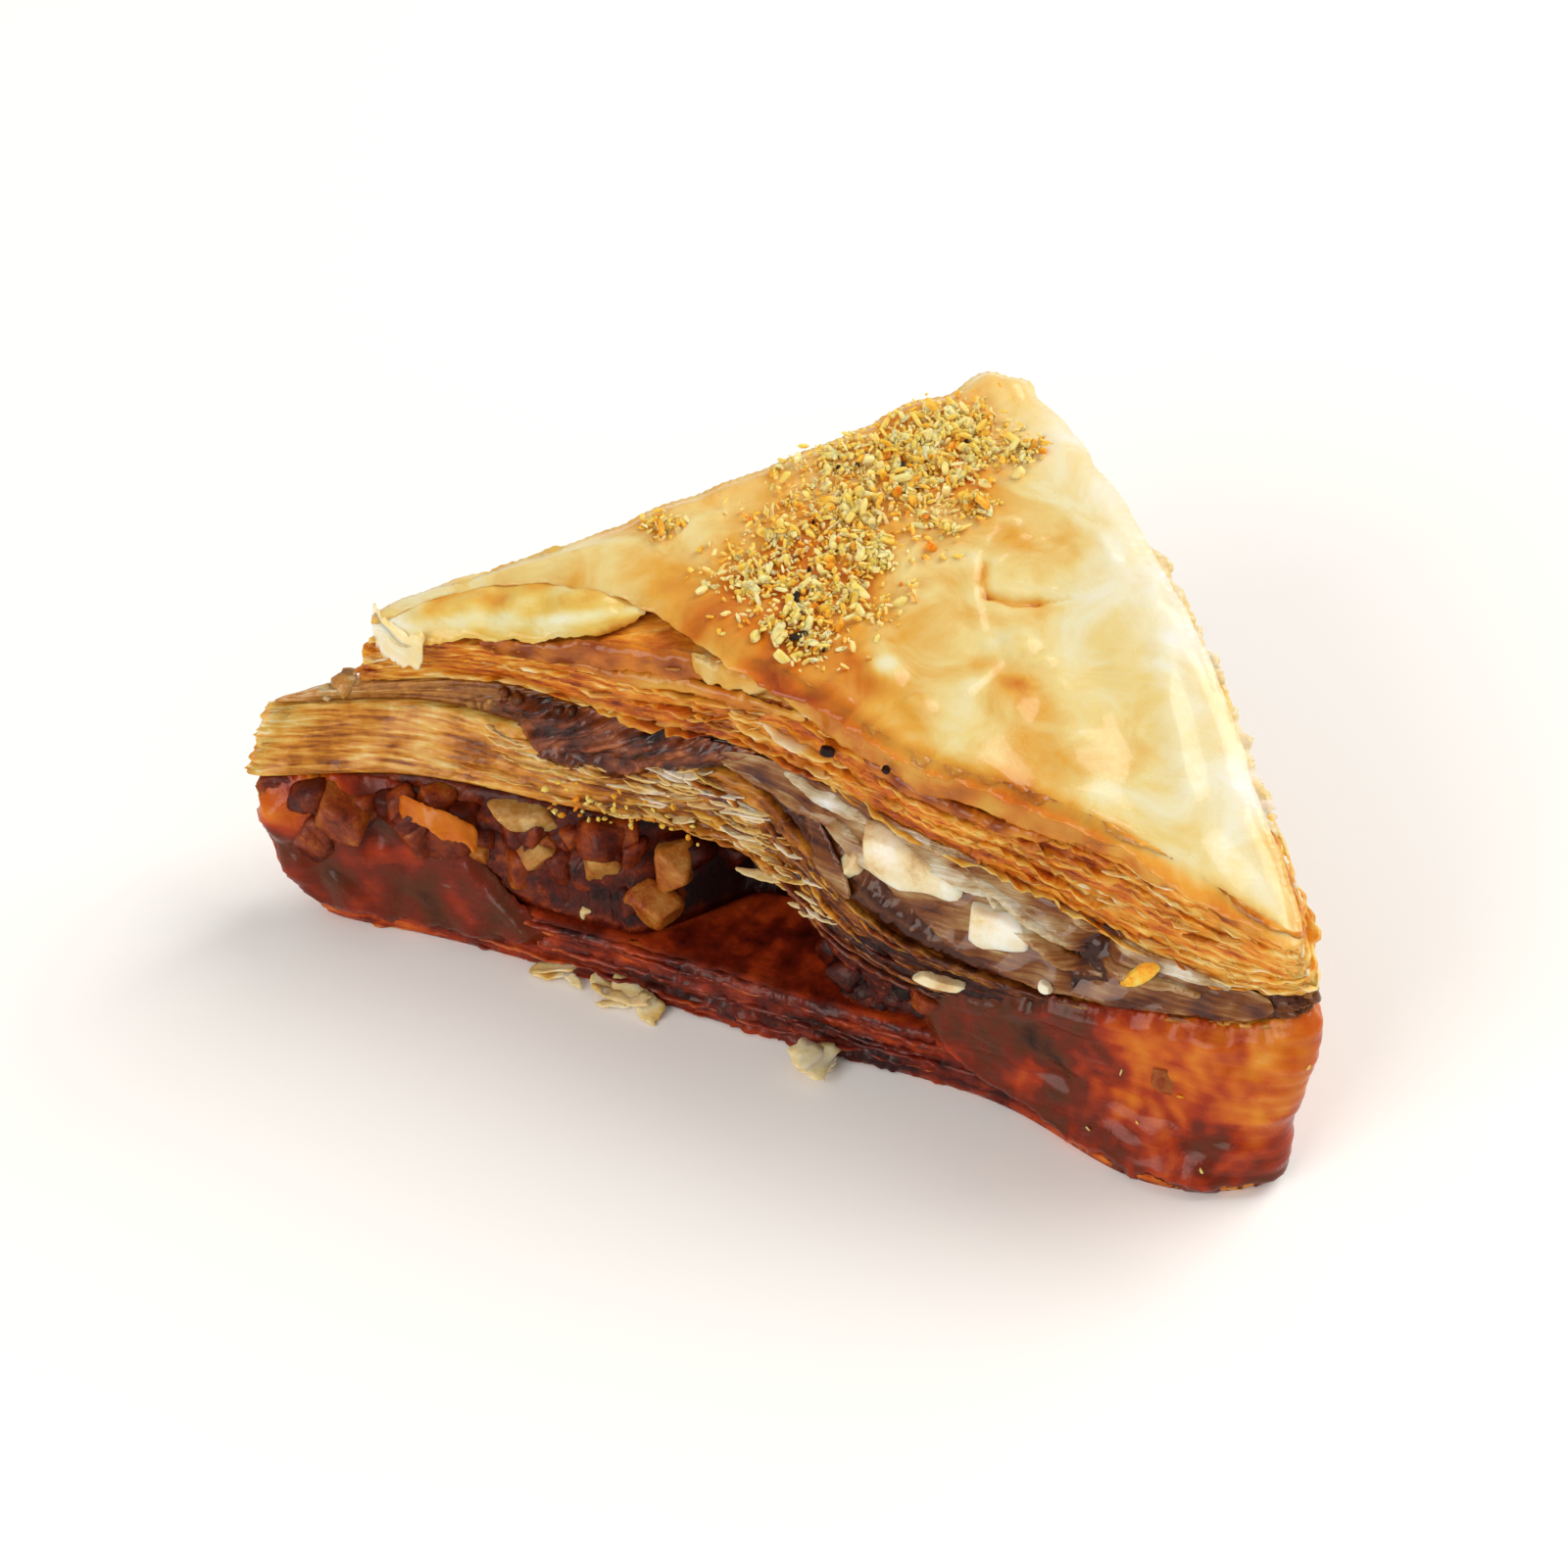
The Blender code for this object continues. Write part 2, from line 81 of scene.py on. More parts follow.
# The levels of the frame's part, from the plate up, with the same outlines and heights as there.
PLATE, FLOOR_SEAM, LOW_SEAM, MIDDLE_SEAM, HIGH_SEAM, CREST = range(6)
CUT_LINE_Y = -18.0
LEFT_CORNER_X = (-37.6, -40.2, -43.6, -43.0, -36.4, -34.4)
RIGHT_CORNER_X = (40.2, 41.0, 41.6, 41.6, 41.4, 40.4)
APEX = ((2.5, 21.6), (2.5, 22.2), (2.5, 22.8), (2.4, 23.4), (2.3, 23.8), (2.2, 24.4))
RIGHT_BULGE = (1.0, 1.4, 1.8, 2.0, 2.2, 2.6)
LEFT_BULGE = (0.4, 0.4, 0.2, -0.2, -0.8, -2.4)
STATIONS = (0.0, 0.15, 0.30, 0.46, 0.58, 0.72, 0.90, 1.0)
SET_BACK = (
    (-1.4, 0.0, 0.0, -0.6, -0.4, -0.2, -3.8, -0.5),
    (-1.6, 0.8, 0.8, 1.0, 0.4, 0.8, -0.8, 0.6),
    (-1.8, 3.0, 3.8, 5.0, 1.0, 0.8, -0.2, 1.2),
    (1.0, 6.4, 5.6, 6.8, 1.0, 0.0, 0.8, 2.2),
    (4.0, 7.4, 6.2, 6.4, 3.6, 3.0, 1.8, 2.6),
    (5.0, 5.0, 7.6, 7.0, 3.4, 4.2, 2.0, -0.8),
)
FRONT_HEIGHT = (
    (0.0,) * 8,
    (4.2, 4.2, 4.2, 4.0, 4.2, 4.6, 5.4, 5.6),
    (11.6, 12.6, 12.8, 12.0, 8.4, 7.6, 9.2, 10.6),
    (16.6, 17.2, 17.6, 17.2, 13.4, 11.8, 13.2, 14.6),
    (18.0, 19.4, 20.6, 20.8, 19.8, 17.6, 15.6, 16.4),
    (23.6, 25.8, 27.8, 28.6, 28.4, 26.8, 24.6, 23.8),
)
APEX_HEIGHT = (0.0, 4.8, 12.0, 17.6, 22.0, 32.0)
FRONT_POINTS, SIDE_POINTS = 44, 26
CORNER_PASSES = 4
# Where the middle of each layer lies in plan.
MIDDLE = (0.0, -4.0)

# Each outline is drawn again with points close enough for torn edges: a sixth of a millimetre
# apart along the cut face, and a third along the uncut sides.
FRONT_FINE, SIDES_FINE = 480, 320
RING = FRONT_FINE + SIDES_FINE


def along(stations, values, share):
    """A smooth curve through the values at their stations."""
    stations = np.asarray(stations, float)
    values = np.asarray(values, float)
    slopes = np.gradient(values, stations)
    share = np.clip(share, stations[0], stations[-1])
    left = np.clip(np.searchsorted(stations, share, side="right") - 1, 0, len(stations) - 2)
    span = stations[left + 1] - stations[left]
    t = (share - stations[left]) / span
    start = (1 + 2 * t) * (1 - t) ** 2 * values[left] + t * (1 - t) ** 2 * span * slopes[left]
    end = t * t * (3 - 2 * t) * values[left + 1] + t * t * (t - 1) * span * slopes[left + 1]
    return start + end


def eased(t):
    t = np.clip(t, 0.0, 1.0)
    return t * t * (3 - 2 * t)


def face_share(x):
    """How far along the cut face a place is, from 0 at the left corner to 1 at the right."""
    return (x - LEFT_CORNER_X[FLOOR_SEAM]) / (RIGHT_CORNER_X[FLOOR_SEAM] - LEFT_CORNER_X[FLOOR_SEAM])


def height(level, x, y):
    """How high a level lies at a point of the plan: its front profile, easing to its height behind."""
    front = along(STATIONS, FRONT_HEIGHT[level], face_share(x))
    depth = (y - CUT_LINE_Y) / (APEX[level][1] - CUT_LINE_Y)
    return front + (APEX_HEIGHT[level] - front) * eased(depth)


def side_line(start, end, bulge):
    """Points from one corner to the next, bowed out to the right of the way from start to end."""
    start, end = np.array(start), np.array(end)
    t = (np.arange(SIDE_POINTS) + 0.5) / SIDE_POINTS
    way = end - start
    outward = np.array([way[1], -way[0]]) / np.hypot(*way)
    bow = bulge * np.sin(math.pi * t)
    return start + t[:, None] * way + bow[:, None] * outward


def curve(a, b, c, d, t):
    """Places on the smooth curve from b to c, where a comes before them and d after."""
    return b + t / 2 * (c - a + t * (2 * a - 5 * b + 4 * c - d + t * (3 * (b - c) + d - a)))


def fine_ring(level, stations=STATIONS, set_back=None):
    """The outline of a level in plan, anticlockwise from its left corner, drawn finely."""
    set_back = SET_BACK[level] if set_back is None else set_back
    share = (np.arange(FRONT_POINTS) + 0.5) / FRONT_POINTS
    x = LEFT_CORNER_X[level] + share * (RIGHT_CORNER_X[level] - LEFT_CORNER_X[level])
    front = np.stack([x, CUT_LINE_Y + along(stations, set_back, share)], axis=1)
    left = (LEFT_CORNER_X[level], CUT_LINE_Y + set_back[0])
    right = (RIGHT_CORNER_X[level], CUT_LINE_Y + set_back[-1])
    right_side = side_line(right, APEX[level], RIGHT_BULGE[level])
    left_side = side_line(APEX[level], left, LEFT_BULGE[level])
    ring = np.concatenate([front, right_side, left_side])
    for _ in range(CORNER_PASSES):
        ring = (np.roll(ring, 1, 0) + 2 * ring + np.roll(ring, -1, 0)) / 4
    face_end, last = FRONT_POINTS - 0.5, len(ring) - 0.5
    on_face = np.linspace(-0.5, face_end, FRONT_FINE, endpoint=False)
    on_sides = np.linspace(face_end, last, SIDES_FINE, endpoint=False)
    place = np.concatenate([on_face, on_sides])
    first = np.floor(place).astype(int)
    t = (place - first)[:, None]
    return curve(*(ring[(first + k) % len(ring)] for k in (-1, 0, 1, 2)), t)


RINGS = [fine_ring(level) for level in range(6)]
# 0 along the cut face, then 0 to 1 from the right corner round the two uncut sides.
ROUND_SIDES = np.concatenate([np.zeros(FRONT_FINE), np.linspace(0, 1, SIDES_FINE)])
ON_FACE = np.arange(RING) < FRONT_FINE


def outward_of(ring, reach=3):
    """The way out of a ring at each of its points, from its neighbours that many points off."""
    way = np.roll(ring, -reach, 0) - np.roll(ring, reach, 0)
    return np.stack([way[:, 1], -way[:, 0]], axis=1) / np.hypot(*way.T)[:, None]


def way_in(ring):
    """From each point of a ring to a small shape inside it, so that inner rings don't cross."""
    spine = np.stack([ring[:, 0] * 0.5, MIDDLE[1] + (ring[:, 1] - MIDDLE[1]) * 0.2], axis=1)
    return spine - ring


def inward_of(ring):
    way = way_in(ring)
    return way / np.hypot(*way.T)[:, None]


def waves(rng, knots, sharp=False):
    """A random line round a ring, from -1 to 1: smooth, or with the angles of a tear."""
    values = rng.uniform(-1, 1, knots)
    place = np.arange(RING) / RING * knots
    first = np.floor(place).astype(int)
    t = place - first if sharp else eased(place - first)
    return values[first % knots] * (1 - t) + values[(first + 1) % knots] * t


class Build:
    """A mesh being put together from grids and loose parts, with a soak value at every point."""

    def __init__(self):
        self.points, self.faces, self.soak, self.count = [], [], [], 0

    def add(self, points, faces, soak):
        self.points.append(np.asarray(points, float).reshape(-1, 3))
        self.faces.append(np.asarray(faces, int) + self.count)
        self.soak.append(np.broadcast_to(soak, len(self.points[-1])))
        self.count += len(self.points[-1])

    def tube(self, rows, soak):
        """Rings joined each to the next and the last to the first: a closed band or a whole shell."""
        rows = np.asarray(rows)
        number, size = rows.shape[:2]
        r, j = np.meshgrid(np.arange(number), np.arange(size), indexing="ij")
        across, below = (j + 1) % size, (r + 1) % number
        faces = np.stack([r * size + j, r * size + across, below * size + across, below * size + j], -1)
        self.add(rows, faces.reshape(-1, 4), np.asarray(soak).reshape(-1))

    def object(self, name, material, slot, *replaced, smooth=True):
        """The finished piece, riding on the frame in place of its solids."""
        points = np.concatenate(self.points)
        points[:, :2] += PLAN_SHIFT
        points[:, 2] = np.maximum(points[:, 2], 0.0)
        faces = [face for part in self.faces for face in part.tolist()]
        mesh = bpy.data.meshes.new(name)
        mesh.from_pydata((points * MM).tolist(), [], faces, shade_flat=not smooth)
        mesh.validate()
        mesh.attributes.new("soak", "FLOAT", "POINT").data.foreach_set("value", np.concatenate(self.soak))
        mesh.materials.append(material)
        piece = bpy.data.objects.new(name, mesh)
        bpy.context.scene.collection.objects.link(piece)
        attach(piece, "root")
        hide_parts(*replaced)


def between(low, high, share, x, y):
    """The height of a sheet between two levels of the frame, at that share of the way up."""
    under = np.where(low == PLATE, 0.0, height(low, x, y) + GAP / 2)
    over = height(high, x, y) - GAP / 2
    return under + (over - under) * share


def warp_of(rng, much=1.0):
    """How the sheets of a stack sway together: lines that swell and pinch along the outline."""
    sways = ((0.06, 9), (0.05, 17), (0.03, 31))
    return [much * size * (waves(rng, knots) + 0.5 * waves(rng, knots * 3)) for size, knots in sways]


def warped(share, warp):
    return share + sum(line * math.sin((k + 1) * math.pi * share) for k, line in enumerate(warp))


# How far in from its edge each row of a leaf's points lies, and how much more soaked each row looks,
# from the innermost of its underside round to the innermost of its top.
LEAF_DEPTHS = (0.0, 0.35, 1.3)
LEAF_DRY = (0.06, 0.0, -0.08, -0.08, 0.0, 0.06)


def leaf(build, rng, low, high, share, thick, fray, soak, warp, curl, stand):
    """One phyllo sheet, as a band round the piece: its torn edge, and as far in as can be seen.

    It stands out of the stack's face in places and draws back behind it in others. Thick is its
    thickness, fray how ragged its edge is, curl how far that turns up, and stand how far it is out.
    """
    path = warped(share, warp) + 0.012 * waves(rng, 50)
    plan = RINGS[low] + (RINGS[high] - RINGS[low]) * share
    tear = 0.7 * waves(rng, 11) + 0.5 * waves(rng, 60, sharp=True) + 0.3 * waves(rng, 260, sharp=True)
    bites = np.maximum(0.0, waves(rng, 70, sharp=True) - 0.35) * 1.5
    plan = plan + outward_of(plan) * (stand + fray * (tear - bites))[:, None]
    inward = inward_of(plan)
    lift = curl * (waves(rng, 22) - 0.3) + 0.4 * curl * waves(rng, 140)
    body = thick * (0.75 + 0.45 * waves(rng, 90))
    top, bottom = [], []
    for distance in LEAF_DEPTHS:
        row = plan + inward * distance
        z = between(low, high, path, *row.T) + lift * math.exp(-distance / 0.6)
        slim = 0.45 if distance == 0 else 1.0
        top.append(np.column_stack([row, z + body / 2 * slim]))
        bottom.append(np.column_stack([row, z - body / 2 * slim]))
    rows = bottom[::-1] + top
    tone = soak + 0.10 * waves(rng, 40) + 0.08 * waves(rng, 160)
    build.tube(rows, tone[None, :] + np.array(LEAF_DRY)[:, None])


# How much of the way to the middle each ring of a layer's top and underside lies.
CAP_STEPS = (0.06, 0.13, 0.22, 0.32, 0.43, 0.55, 0.68, 0.82)
LAST_RING = 0.03


def heart(build, rng, low, high, rows, inset, rough, soak, warp, tone, dent=0.0, cap=0.10, sink=0.0):
    """The body of a layer behind its loose edges: as many pressed rows as it has sheets.

    Its face lies inset from the outline, rough to a depth, dented where nuts have gone, and toned
    row by row. Its top and underside ripple by cap, and its top is sunk by so much.
    """
    walls, tones = [], []
    for k in range(rows + 1):
        share = k / rows
        ends = k in (0, rows)
        plan = RINGS[low] + (RINGS[high] - RINGS[low]) * share
        relief = rough * (0.5 * waves(rng, 36) + 0.45 * waves(rng, 150) + 0.5 * waves(rng, 390, sharp=True))
        depth = inset + dent + (0.35 if ends else relief)
        plan = plan + inward_of(plan) * (depth + np.zeros(RING))[:, None]
        bend = 0.0 if ends else 0.25 * waves(rng, 60) / rows
        z = between(low, high, warped(share, warp) + bend, *plan.T) - sink * share
        walls.append(np.column_stack([plan, z]))
        row_tone = soak + tone * (0.8 * waves(rng, 22) + 0.6 * waves(rng, 120) + rng.uniform(-0.8, 0.8))
        tones.append(row_tone + np.zeros(RING))
    caps = []
    for wall, share in ((walls[0], 0.0), (walls[-1], 1.0)):
        edge = wall[:, :2]
        rings = []
        for step in CAP_STEPS:
            plan = edge + way_in(edge) * step
            z = between(low, high, share, *plan.T) - sink * share
            rings.append(np.column_stack([plan, z + cap * (waves(rng, 70) + 0.5 * waves(rng, 200))]))
        plan = np.array(MIDDLE) + (rings[-1][:, :2] - MIDDLE) * LAST_RING
        rings.append(np.column_stack([plan, between(low, high, share, *plan.T) - sink * share]))
        caps.append(rings)
    under, over = [tones[0]] * len(caps[0]), [tones[-1]] * len(caps[1])
    build.tube(caps[0][::-1] + walls + caps[1], np.concatenate([under, tones, over]))


def leaves(build, rng, low, high, count, soak, shades, thick, fray, warp, curl, stand=-0.1, room=0):
    """The sheets that stand out of a stack's face, with room left over it for some more."""
    for k in range(count):
        share = (k + rng.uniform(0.2, 0.8)) / (count + room)
        tone = soak + rng.uniform(*shades)
        leaf(build, rng, low, high, share, rng.uniform(*thick), fray, tone, warp, curl, stand)


def inside(points, outline):
    """Which points lie inside a closed outline."""
    found = np.zeros(len(points), bool)
    x, y = points.T
    for (ax, ay), (bx, by) in zip(outline, np.roll(outline, -1, 0)):
        crosses = (ay > y) != (by > y)
        if crosses.any():
            reach = ax + (y[crosses] - ay) / (by - ay) * (bx - ax)
            found[crosses] ^= x[crosses] < reach
    return found


def from_edge(x, y, outline):
    """How far each place is from the nearest point of an outline."""
    return reduce(np.minimum, (np.hypot(x - a, y - b) for a, b in outline))


def sheet(build, outline, surface, thick, spacing, soak):
    """A thin closed sheet of that outline, laid on surface(x, y), which gives its points in space."""
    low, high = outline.min(0), outline.max(0)
    columns = np.arange(low[0], high[0], spacing)
    lines = np.arange(low[1], high[1], spacing * 0.866)
    grid = np.array([(x + (k % 2) * spacing / 2, y) for k, y in enumerate(lines) for x in columns])
    grid = grid[inside(grid, outline)]
    grid = grid[from_edge(*grid.T, outline) > spacing * 0.6]
    plan = [Vector(p) for p in np.concatenate([outline, grid])]
    edge = [list(range(len(outline)))]
    verts, _, faces, *_ = delaunay_2d_cdt(plan, [], edge, 1, 1e-5)
    flat = np.array([tuple(v) for v in verts])
    faces = np.array([f for f in faces if len(f) == 3])
    points = surface(flat[:, 0], flat[:, 1])
    cross = np.cross(points[faces[:, 1]] - points[faces[:, 0]], points[faces[:, 2]] - points[faces[:, 0]])
    normal = np.zeros_like(points)
    for corner in range(3):
        np.add.at(normal, faces[:, corner], cross)
    normal /= np.maximum(np.linalg.norm(normal, axis=1), 1e-9)[:, None]
    count = len(points)
    edges = np.concatenate([faces[:, [0, 1]], faces[:, [1, 2]], faces[:, [2, 0]]])
    key = edges[:, 0] * count + edges[:, 1]
    open_edge = edges[~np.isin(key, edges[:, 1] * count + edges[:, 0])]
    a, b = open_edge.T
    walls = np.concatenate([np.stack([b, a, a + count], 1), np.stack([b, a + count, b + count], 1)])
    whole = np.concatenate([faces, faces[:, ::-1] + count, walls])
    tone = soak(flat[:, 0], flat[:, 1]) if callable(soak) else np.full(count, float(soak))
    build.add(np.concatenate([points, points - normal * thick]), whole, np.concatenate([tone, tone]))


def along_line(place, run, points):
    """The points of a line at those places along its run."""
    return np.column_stack([np.interp(place, run, column) for column in points.T])


def torn_outline(rng, corners, fray, step=0.3):
    """A closed outline through rough corners: rounded, then torn."""
    corners = np.array(corners, float)
    n = len(corners)
    t = np.linspace(0, 1, 12, endpoint=False)[:, None]
    smooth = np.concatenate([curve(*(corners[(k + j) % n] for j in (-1, 0, 1, 2)), t) for k in range(n)])
    closed = np.concatenate([smooth, smooth[:1]])
    run = np.concatenate([[0], np.cumsum(np.hypot(*np.diff(closed, axis=0).T))])
    count = max(12, int(run[-1] / step))
    place = np.linspace(0, run[-1], count, endpoint=False)
    line = along_line(place, run, closed)
    knots = rng.uniform(-1, 1, max(4, count // 5))
    place = np.arange(count) / count * len(knots)
    coarse = np.interp(place, np.arange(len(knots) + 1), np.append(knots, knots[0]))
    return line + outward_of(line, 2) * (fray * (coarse + 0.4 * rng.uniform(-1, 1, count)))[:, None]


def scrap(build, rng, place, size, tone, tilt, curl, thick, turn=0.6):
    """A loose flake of torn sheet, curled up a little: its place, its length and width, and its lie."""
    count = rng.integers(7, 11)
    angle = (np.arange(count) + rng.uniform(-0.3, 0.3, count)) / count * 2 * math.pi
    reach = rng.uniform(0.55, 1.1, count) / 2
    corners = np.column_stack([np.cos(angle) * reach * size[0], np.sin(angle) * reach * size[1]])
    outline = torn_outline(rng, corners, 0.1 * min(size), min(0.3, min(size) / 5))
    spin = np.array(Euler(rng.uniform(-1, 1, 3) * (tilt, tilt, turn)).to_matrix())
    roll, phase = rng.uniform(0, math.pi), rng.uniform(0, 6)

    def surface(x, y):
        over = x * math.cos(roll) + y * math.sin(roll)
        z = curl * over ** 2 / min(size) + 0.04 * min(size) * np.sin(over * 7 / min(size) + phase)
        return np.column_stack([x, y, z]) @ spin.T + np.array(place)

    sheet(build, outline, surface, thick, max(min(size) / 6, 0.2), tone)


def by_station(values, back):
    """A value round a layer's outline, such as its soak: at the stations on the cut face, and behind."""
    x = RINGS[MIDDLE_SEAM][:, 0]
    face = along(STATIONS, values, face_share(x))
    behind = eased(np.minimum(ROUND_SIDES, 1 - ROUND_SIDES) * 8)
    return np.where(ON_FACE, face, face + (back - face) * behind)


def linear(colour):
    """An sRGB hex colour as the linear value that a shader takes."""
    parts = [int(colour[i:i + 2], 16) / 255 for i in (1, 3, 5)]
    return (*(c / 12.92 if c <= 0.04045 else ((c + 0.055) / 1.055) ** 2.4 for c in parts), 1.0)


def node(material, kind, settings=None, links=None):
    """Adds a node with its settings, and links each input from an output or a node's first one."""
    made = material.node_tree.nodes.new("ShaderNode" + kind)
    for name, value in (settings or {}).items():
        if name == "stops":
            stops, colours = value
            ramp = made.color_ramp.elements
            while len(ramp) < len(stops):
                ramp.new(1.0)
            for stop, place in zip(ramp, stops):
                stop.position = place
            for stop, colour in zip(ramp, colours.split()):
                stop.color = linear(colour)
        elif isinstance(name, int) or name in made.inputs:
            made.inputs[name].default_value = value
        else:
            setattr(made, name, value)
    for name, source in (links or {}).items():
        material.node_tree.links.new(getattr(source, "outputs", [source])[0], made.inputs[name])
    return made


def new_material(name):
    material = bpy.data.materials.new(name)
    material.use_nodes = True
    material.node_tree.nodes.clear()
    return material


def in_syrup(name, stops, colours, fields, grooves, rough, dull, coat, coat_rough, glow, glow_mm, reach):
    """Pastry or nut in syrup: the colour goes by how soaked each point is, varied by noise.

    Stops are the soaks at which it has each of its colours. Fields give each noise's stretch, its
    settings per millimetre, and how much it shifts the soak. Grooves say which of them stand in
    relief, how strongly, and how many millimetres deep. The first field also makes spots duller.
    Light that enters glows back out over glow_mm, and each of red, green and blue by its reach.
    """
    material = new_material(name)
    spread = {"From Min": 0.3, "From Max": 0.7}
    where = node(material, "TexCoord").outputs["Object"]
    mm = node(material, "VectorMath", {"operation": "SCALE", "Scale": 1 / MM}, {0: where})
    soak = node(material, "Attribute", {"attribute_name": "soak"}).outputs["Fac"]
    noises, shifts = [], []
    for stretch, settings, much in fields:
        lay = node(material, "Mapping", {"Scale": stretch}, {"Vector": mm}) if stretch else mm
        noises.append(node(material, "TexNoise", settings, {"Vector": lay}))
        if much:
            limits = {**spread, "To Min": -much / 2, "To Max": much / 2}
            shifts.append(node(material, "MapRange", limits, {"Value": noises[-1]}))
    shift = node(material, "Math", {"operation": "ADD"}, dict(enumerate(shifts)))
    soaked = node(material, "Math", {"operation": "ADD", "use_clamp": True}, {0: shift, 1: soak})
    links = {"Base Color": node(material, "ValToRGB", {"stops": (stops, colours)}, {"Fac": soaked})}
    for field, strength, deep_mm in grooves:
        relief = {"Height": noises[field], **({"Normal": links["Normal"]} if "Normal" in links else {})}
        links["Normal"] = node(material, "Bump", {"Strength": strength, "Distance": deep_mm * MM}, relief)
    if dull:
        limits = {**spread, "To Min": rough + dull, "To Max": rough}
        links["Roughness"] = node(material, "MapRange", limits, {"Value": noises[0]})
    finish = {
        "Roughness": rough, "IOR": 1.42, "Specular IOR Level": 0.22,
        "Coat Weight": coat, "Coat Roughness": coat_rough, "Coat IOR": 1.42,
        "Subsurface Weight": glow, "Subsurface Scale": glow_mm * MM, "Subsurface Radius": reach,
    }
    shader = node(material, "BsdfPrincipled", finish, links)
    node(material, "OutputMaterial", links={"Surface": shader})
    return material


def phyllo(name, stops, colours, blotch, fibre, rough, coat, glow, glow_mm, spot_mm=3.0, swirl=0.0):
    """Baked wheat sheet in syrup: pale where dry, amber to red-brown where soaked, and glossy.

    Fibres lie along the sheets, about a third of a millimetre apart, under larger blotches.
    """
    fields = (
        (None, {"Scale": 1 / spot_mm, "Detail": 4.0, "Roughness": 0.55, "Distortion": swirl}, blotch),
        ((0.3, 0.3, 3.4), {"Scale": 1.0, "Detail": 5.0, "Roughness": 0.6, "Distortion": 0.4}, fibre),
        (None, {"Scale": 4.0, "Detail": 3.0}, 0.0),
    )
    grooves = ((1, min(0.6, 1.6 * fibre), 0.15), (2, 0.35, 0.08))
    return in_syrup(
        name, stops, colours, fields, grooves, rough, dull=0.18, coat=coat, coat_rough=0.07,
        glow=glow, glow_mm=glow_mm, reach=(1.0, 0.45, 0.15),
    )


# Phyllo boiled soft in syrup: see-through orange to dark red-brown, with a wet gloss.
soaked_phyllo = phyllo(
    "syrup_soaked_phyllo",
    (0, 0.22, 0.42, 0.6, 0.78, 1),
    "#F2C274 #E89A3A #D2661C #A83A12 #701E0A #2C0806",
    blotch=0.36, fibre=0.22, rough=0.24, coat=0.2, glow=0.35, glow_mm=1.6,
)

BOTTOM_ROWS, BOTTOM_LEAVES = 12, 6
# Flakes that came loose and lie at the foot of the cut face: place, size and how many.
FOOT_FLAKES = (
    ((4.6, -19.6, 0.9), (4.8, 4.6), 4),
    ((-10.8, -18.8, 0.7), (7.0, 2.6), 4),
    ((-15.6, -18.4, 0.6), (5.0, 2.0), 3),
)
BOTTOM_SOAK = (0.56, 0.72, 0.80, 0.84, 0.84, 0.80, 0.56, 0.46)

rng = np.random.default_rng(101)
bottom = Build()
bottom_soak = by_station(BOTTOM_SOAK, 0.5)
warp = warp_of(rng, 0.7)
heart(
    bottom, rng, PLATE, FLOOR_SEAM, BOTTOM_ROWS, inset=0.2, rough=0.35, soak=bottom_soak, warp=warp,
    tone=0.10, cap=0.14,
)
leaves(
    bottom, rng, PLATE, FLOOR_SEAM, BOTTOM_LEAVES, bottom_soak, shades=(-0.16, 0.08), thick=(0.2, 0.45),
    fray=0.5, warp=warp, curl=0.16, stand=-0.2,
)
bottom.object("soaked_stack", soaked_phyllo, "soaked_phyllo", "phyllo_bottom")

# Phyllo that syrup didn't reach: cream, thin enough to glow, and browned in spots.
dry_flakes = phyllo(
    "loose_dry_flakes",
    (0, 0.25, 0.45, 0.65, 0.85, 1),
    "#FFF2DC #F6DAA8 #E8B468 #C07C30 #884416 #502008",
    blotch=0.36, fibre=0.25, rough=0.22, coat=0.35, glow=0.4, glow_mm=1.5,
)
flakes = Build()
for place, size, count in FOOT_FLAKES:
    for k in range(count):
        spot = np.array(place) + rng.uniform(-0.5, 0.5, 3) * (size[0] * 0.4, size[1] * 0.4, 0.8)
        part = np.array(size) * rng.uniform(0.45, 0.95)
        scrap(flakes, rng, spot, part, rng.uniform(0.1, 0.4), tilt=0.25, curl=0.15, thick=0.12)
flakes.object("foot_flakes", dry_flakes, "soaked_phyllo", "phyllo_bottom")

# The lower nuts.
# Walnuts and almonds chopped coarsely, packed 8 mm deep and bound with syrup that has gone dark
# and glossy. Some have fallen out near the middle of the cut face and left a pocket.
POCKET_X, POCKET_WIDE, POCKET_DEEP = -3.6, 9.4, 8.0
# How much darker the hollow's walls are painted: painted shade in the pocket.
POCKET_PAINTED_SHADE = 0.25
# The higher this is, the sharper the edges between the knife strokes.
SHARPNESS = 22.0


def ball(detail):
    """The points and triangles of a round ball, to be cut down to a nut."""
    work = bmesh.new()
    bmesh.ops.create_icosphere(work, subdivisions=detail, radius=1.0)
    points = np.array([v.co for v in work.verts])
    faces = np.array([[v.index for v in f.verts] for f in work.faces])
    work.free()
    return points / np.linalg.norm(points, axis=1)[:, None], faces


BALLS = {detail: ball(detail) for detail in (1, 2, 3, 4)}


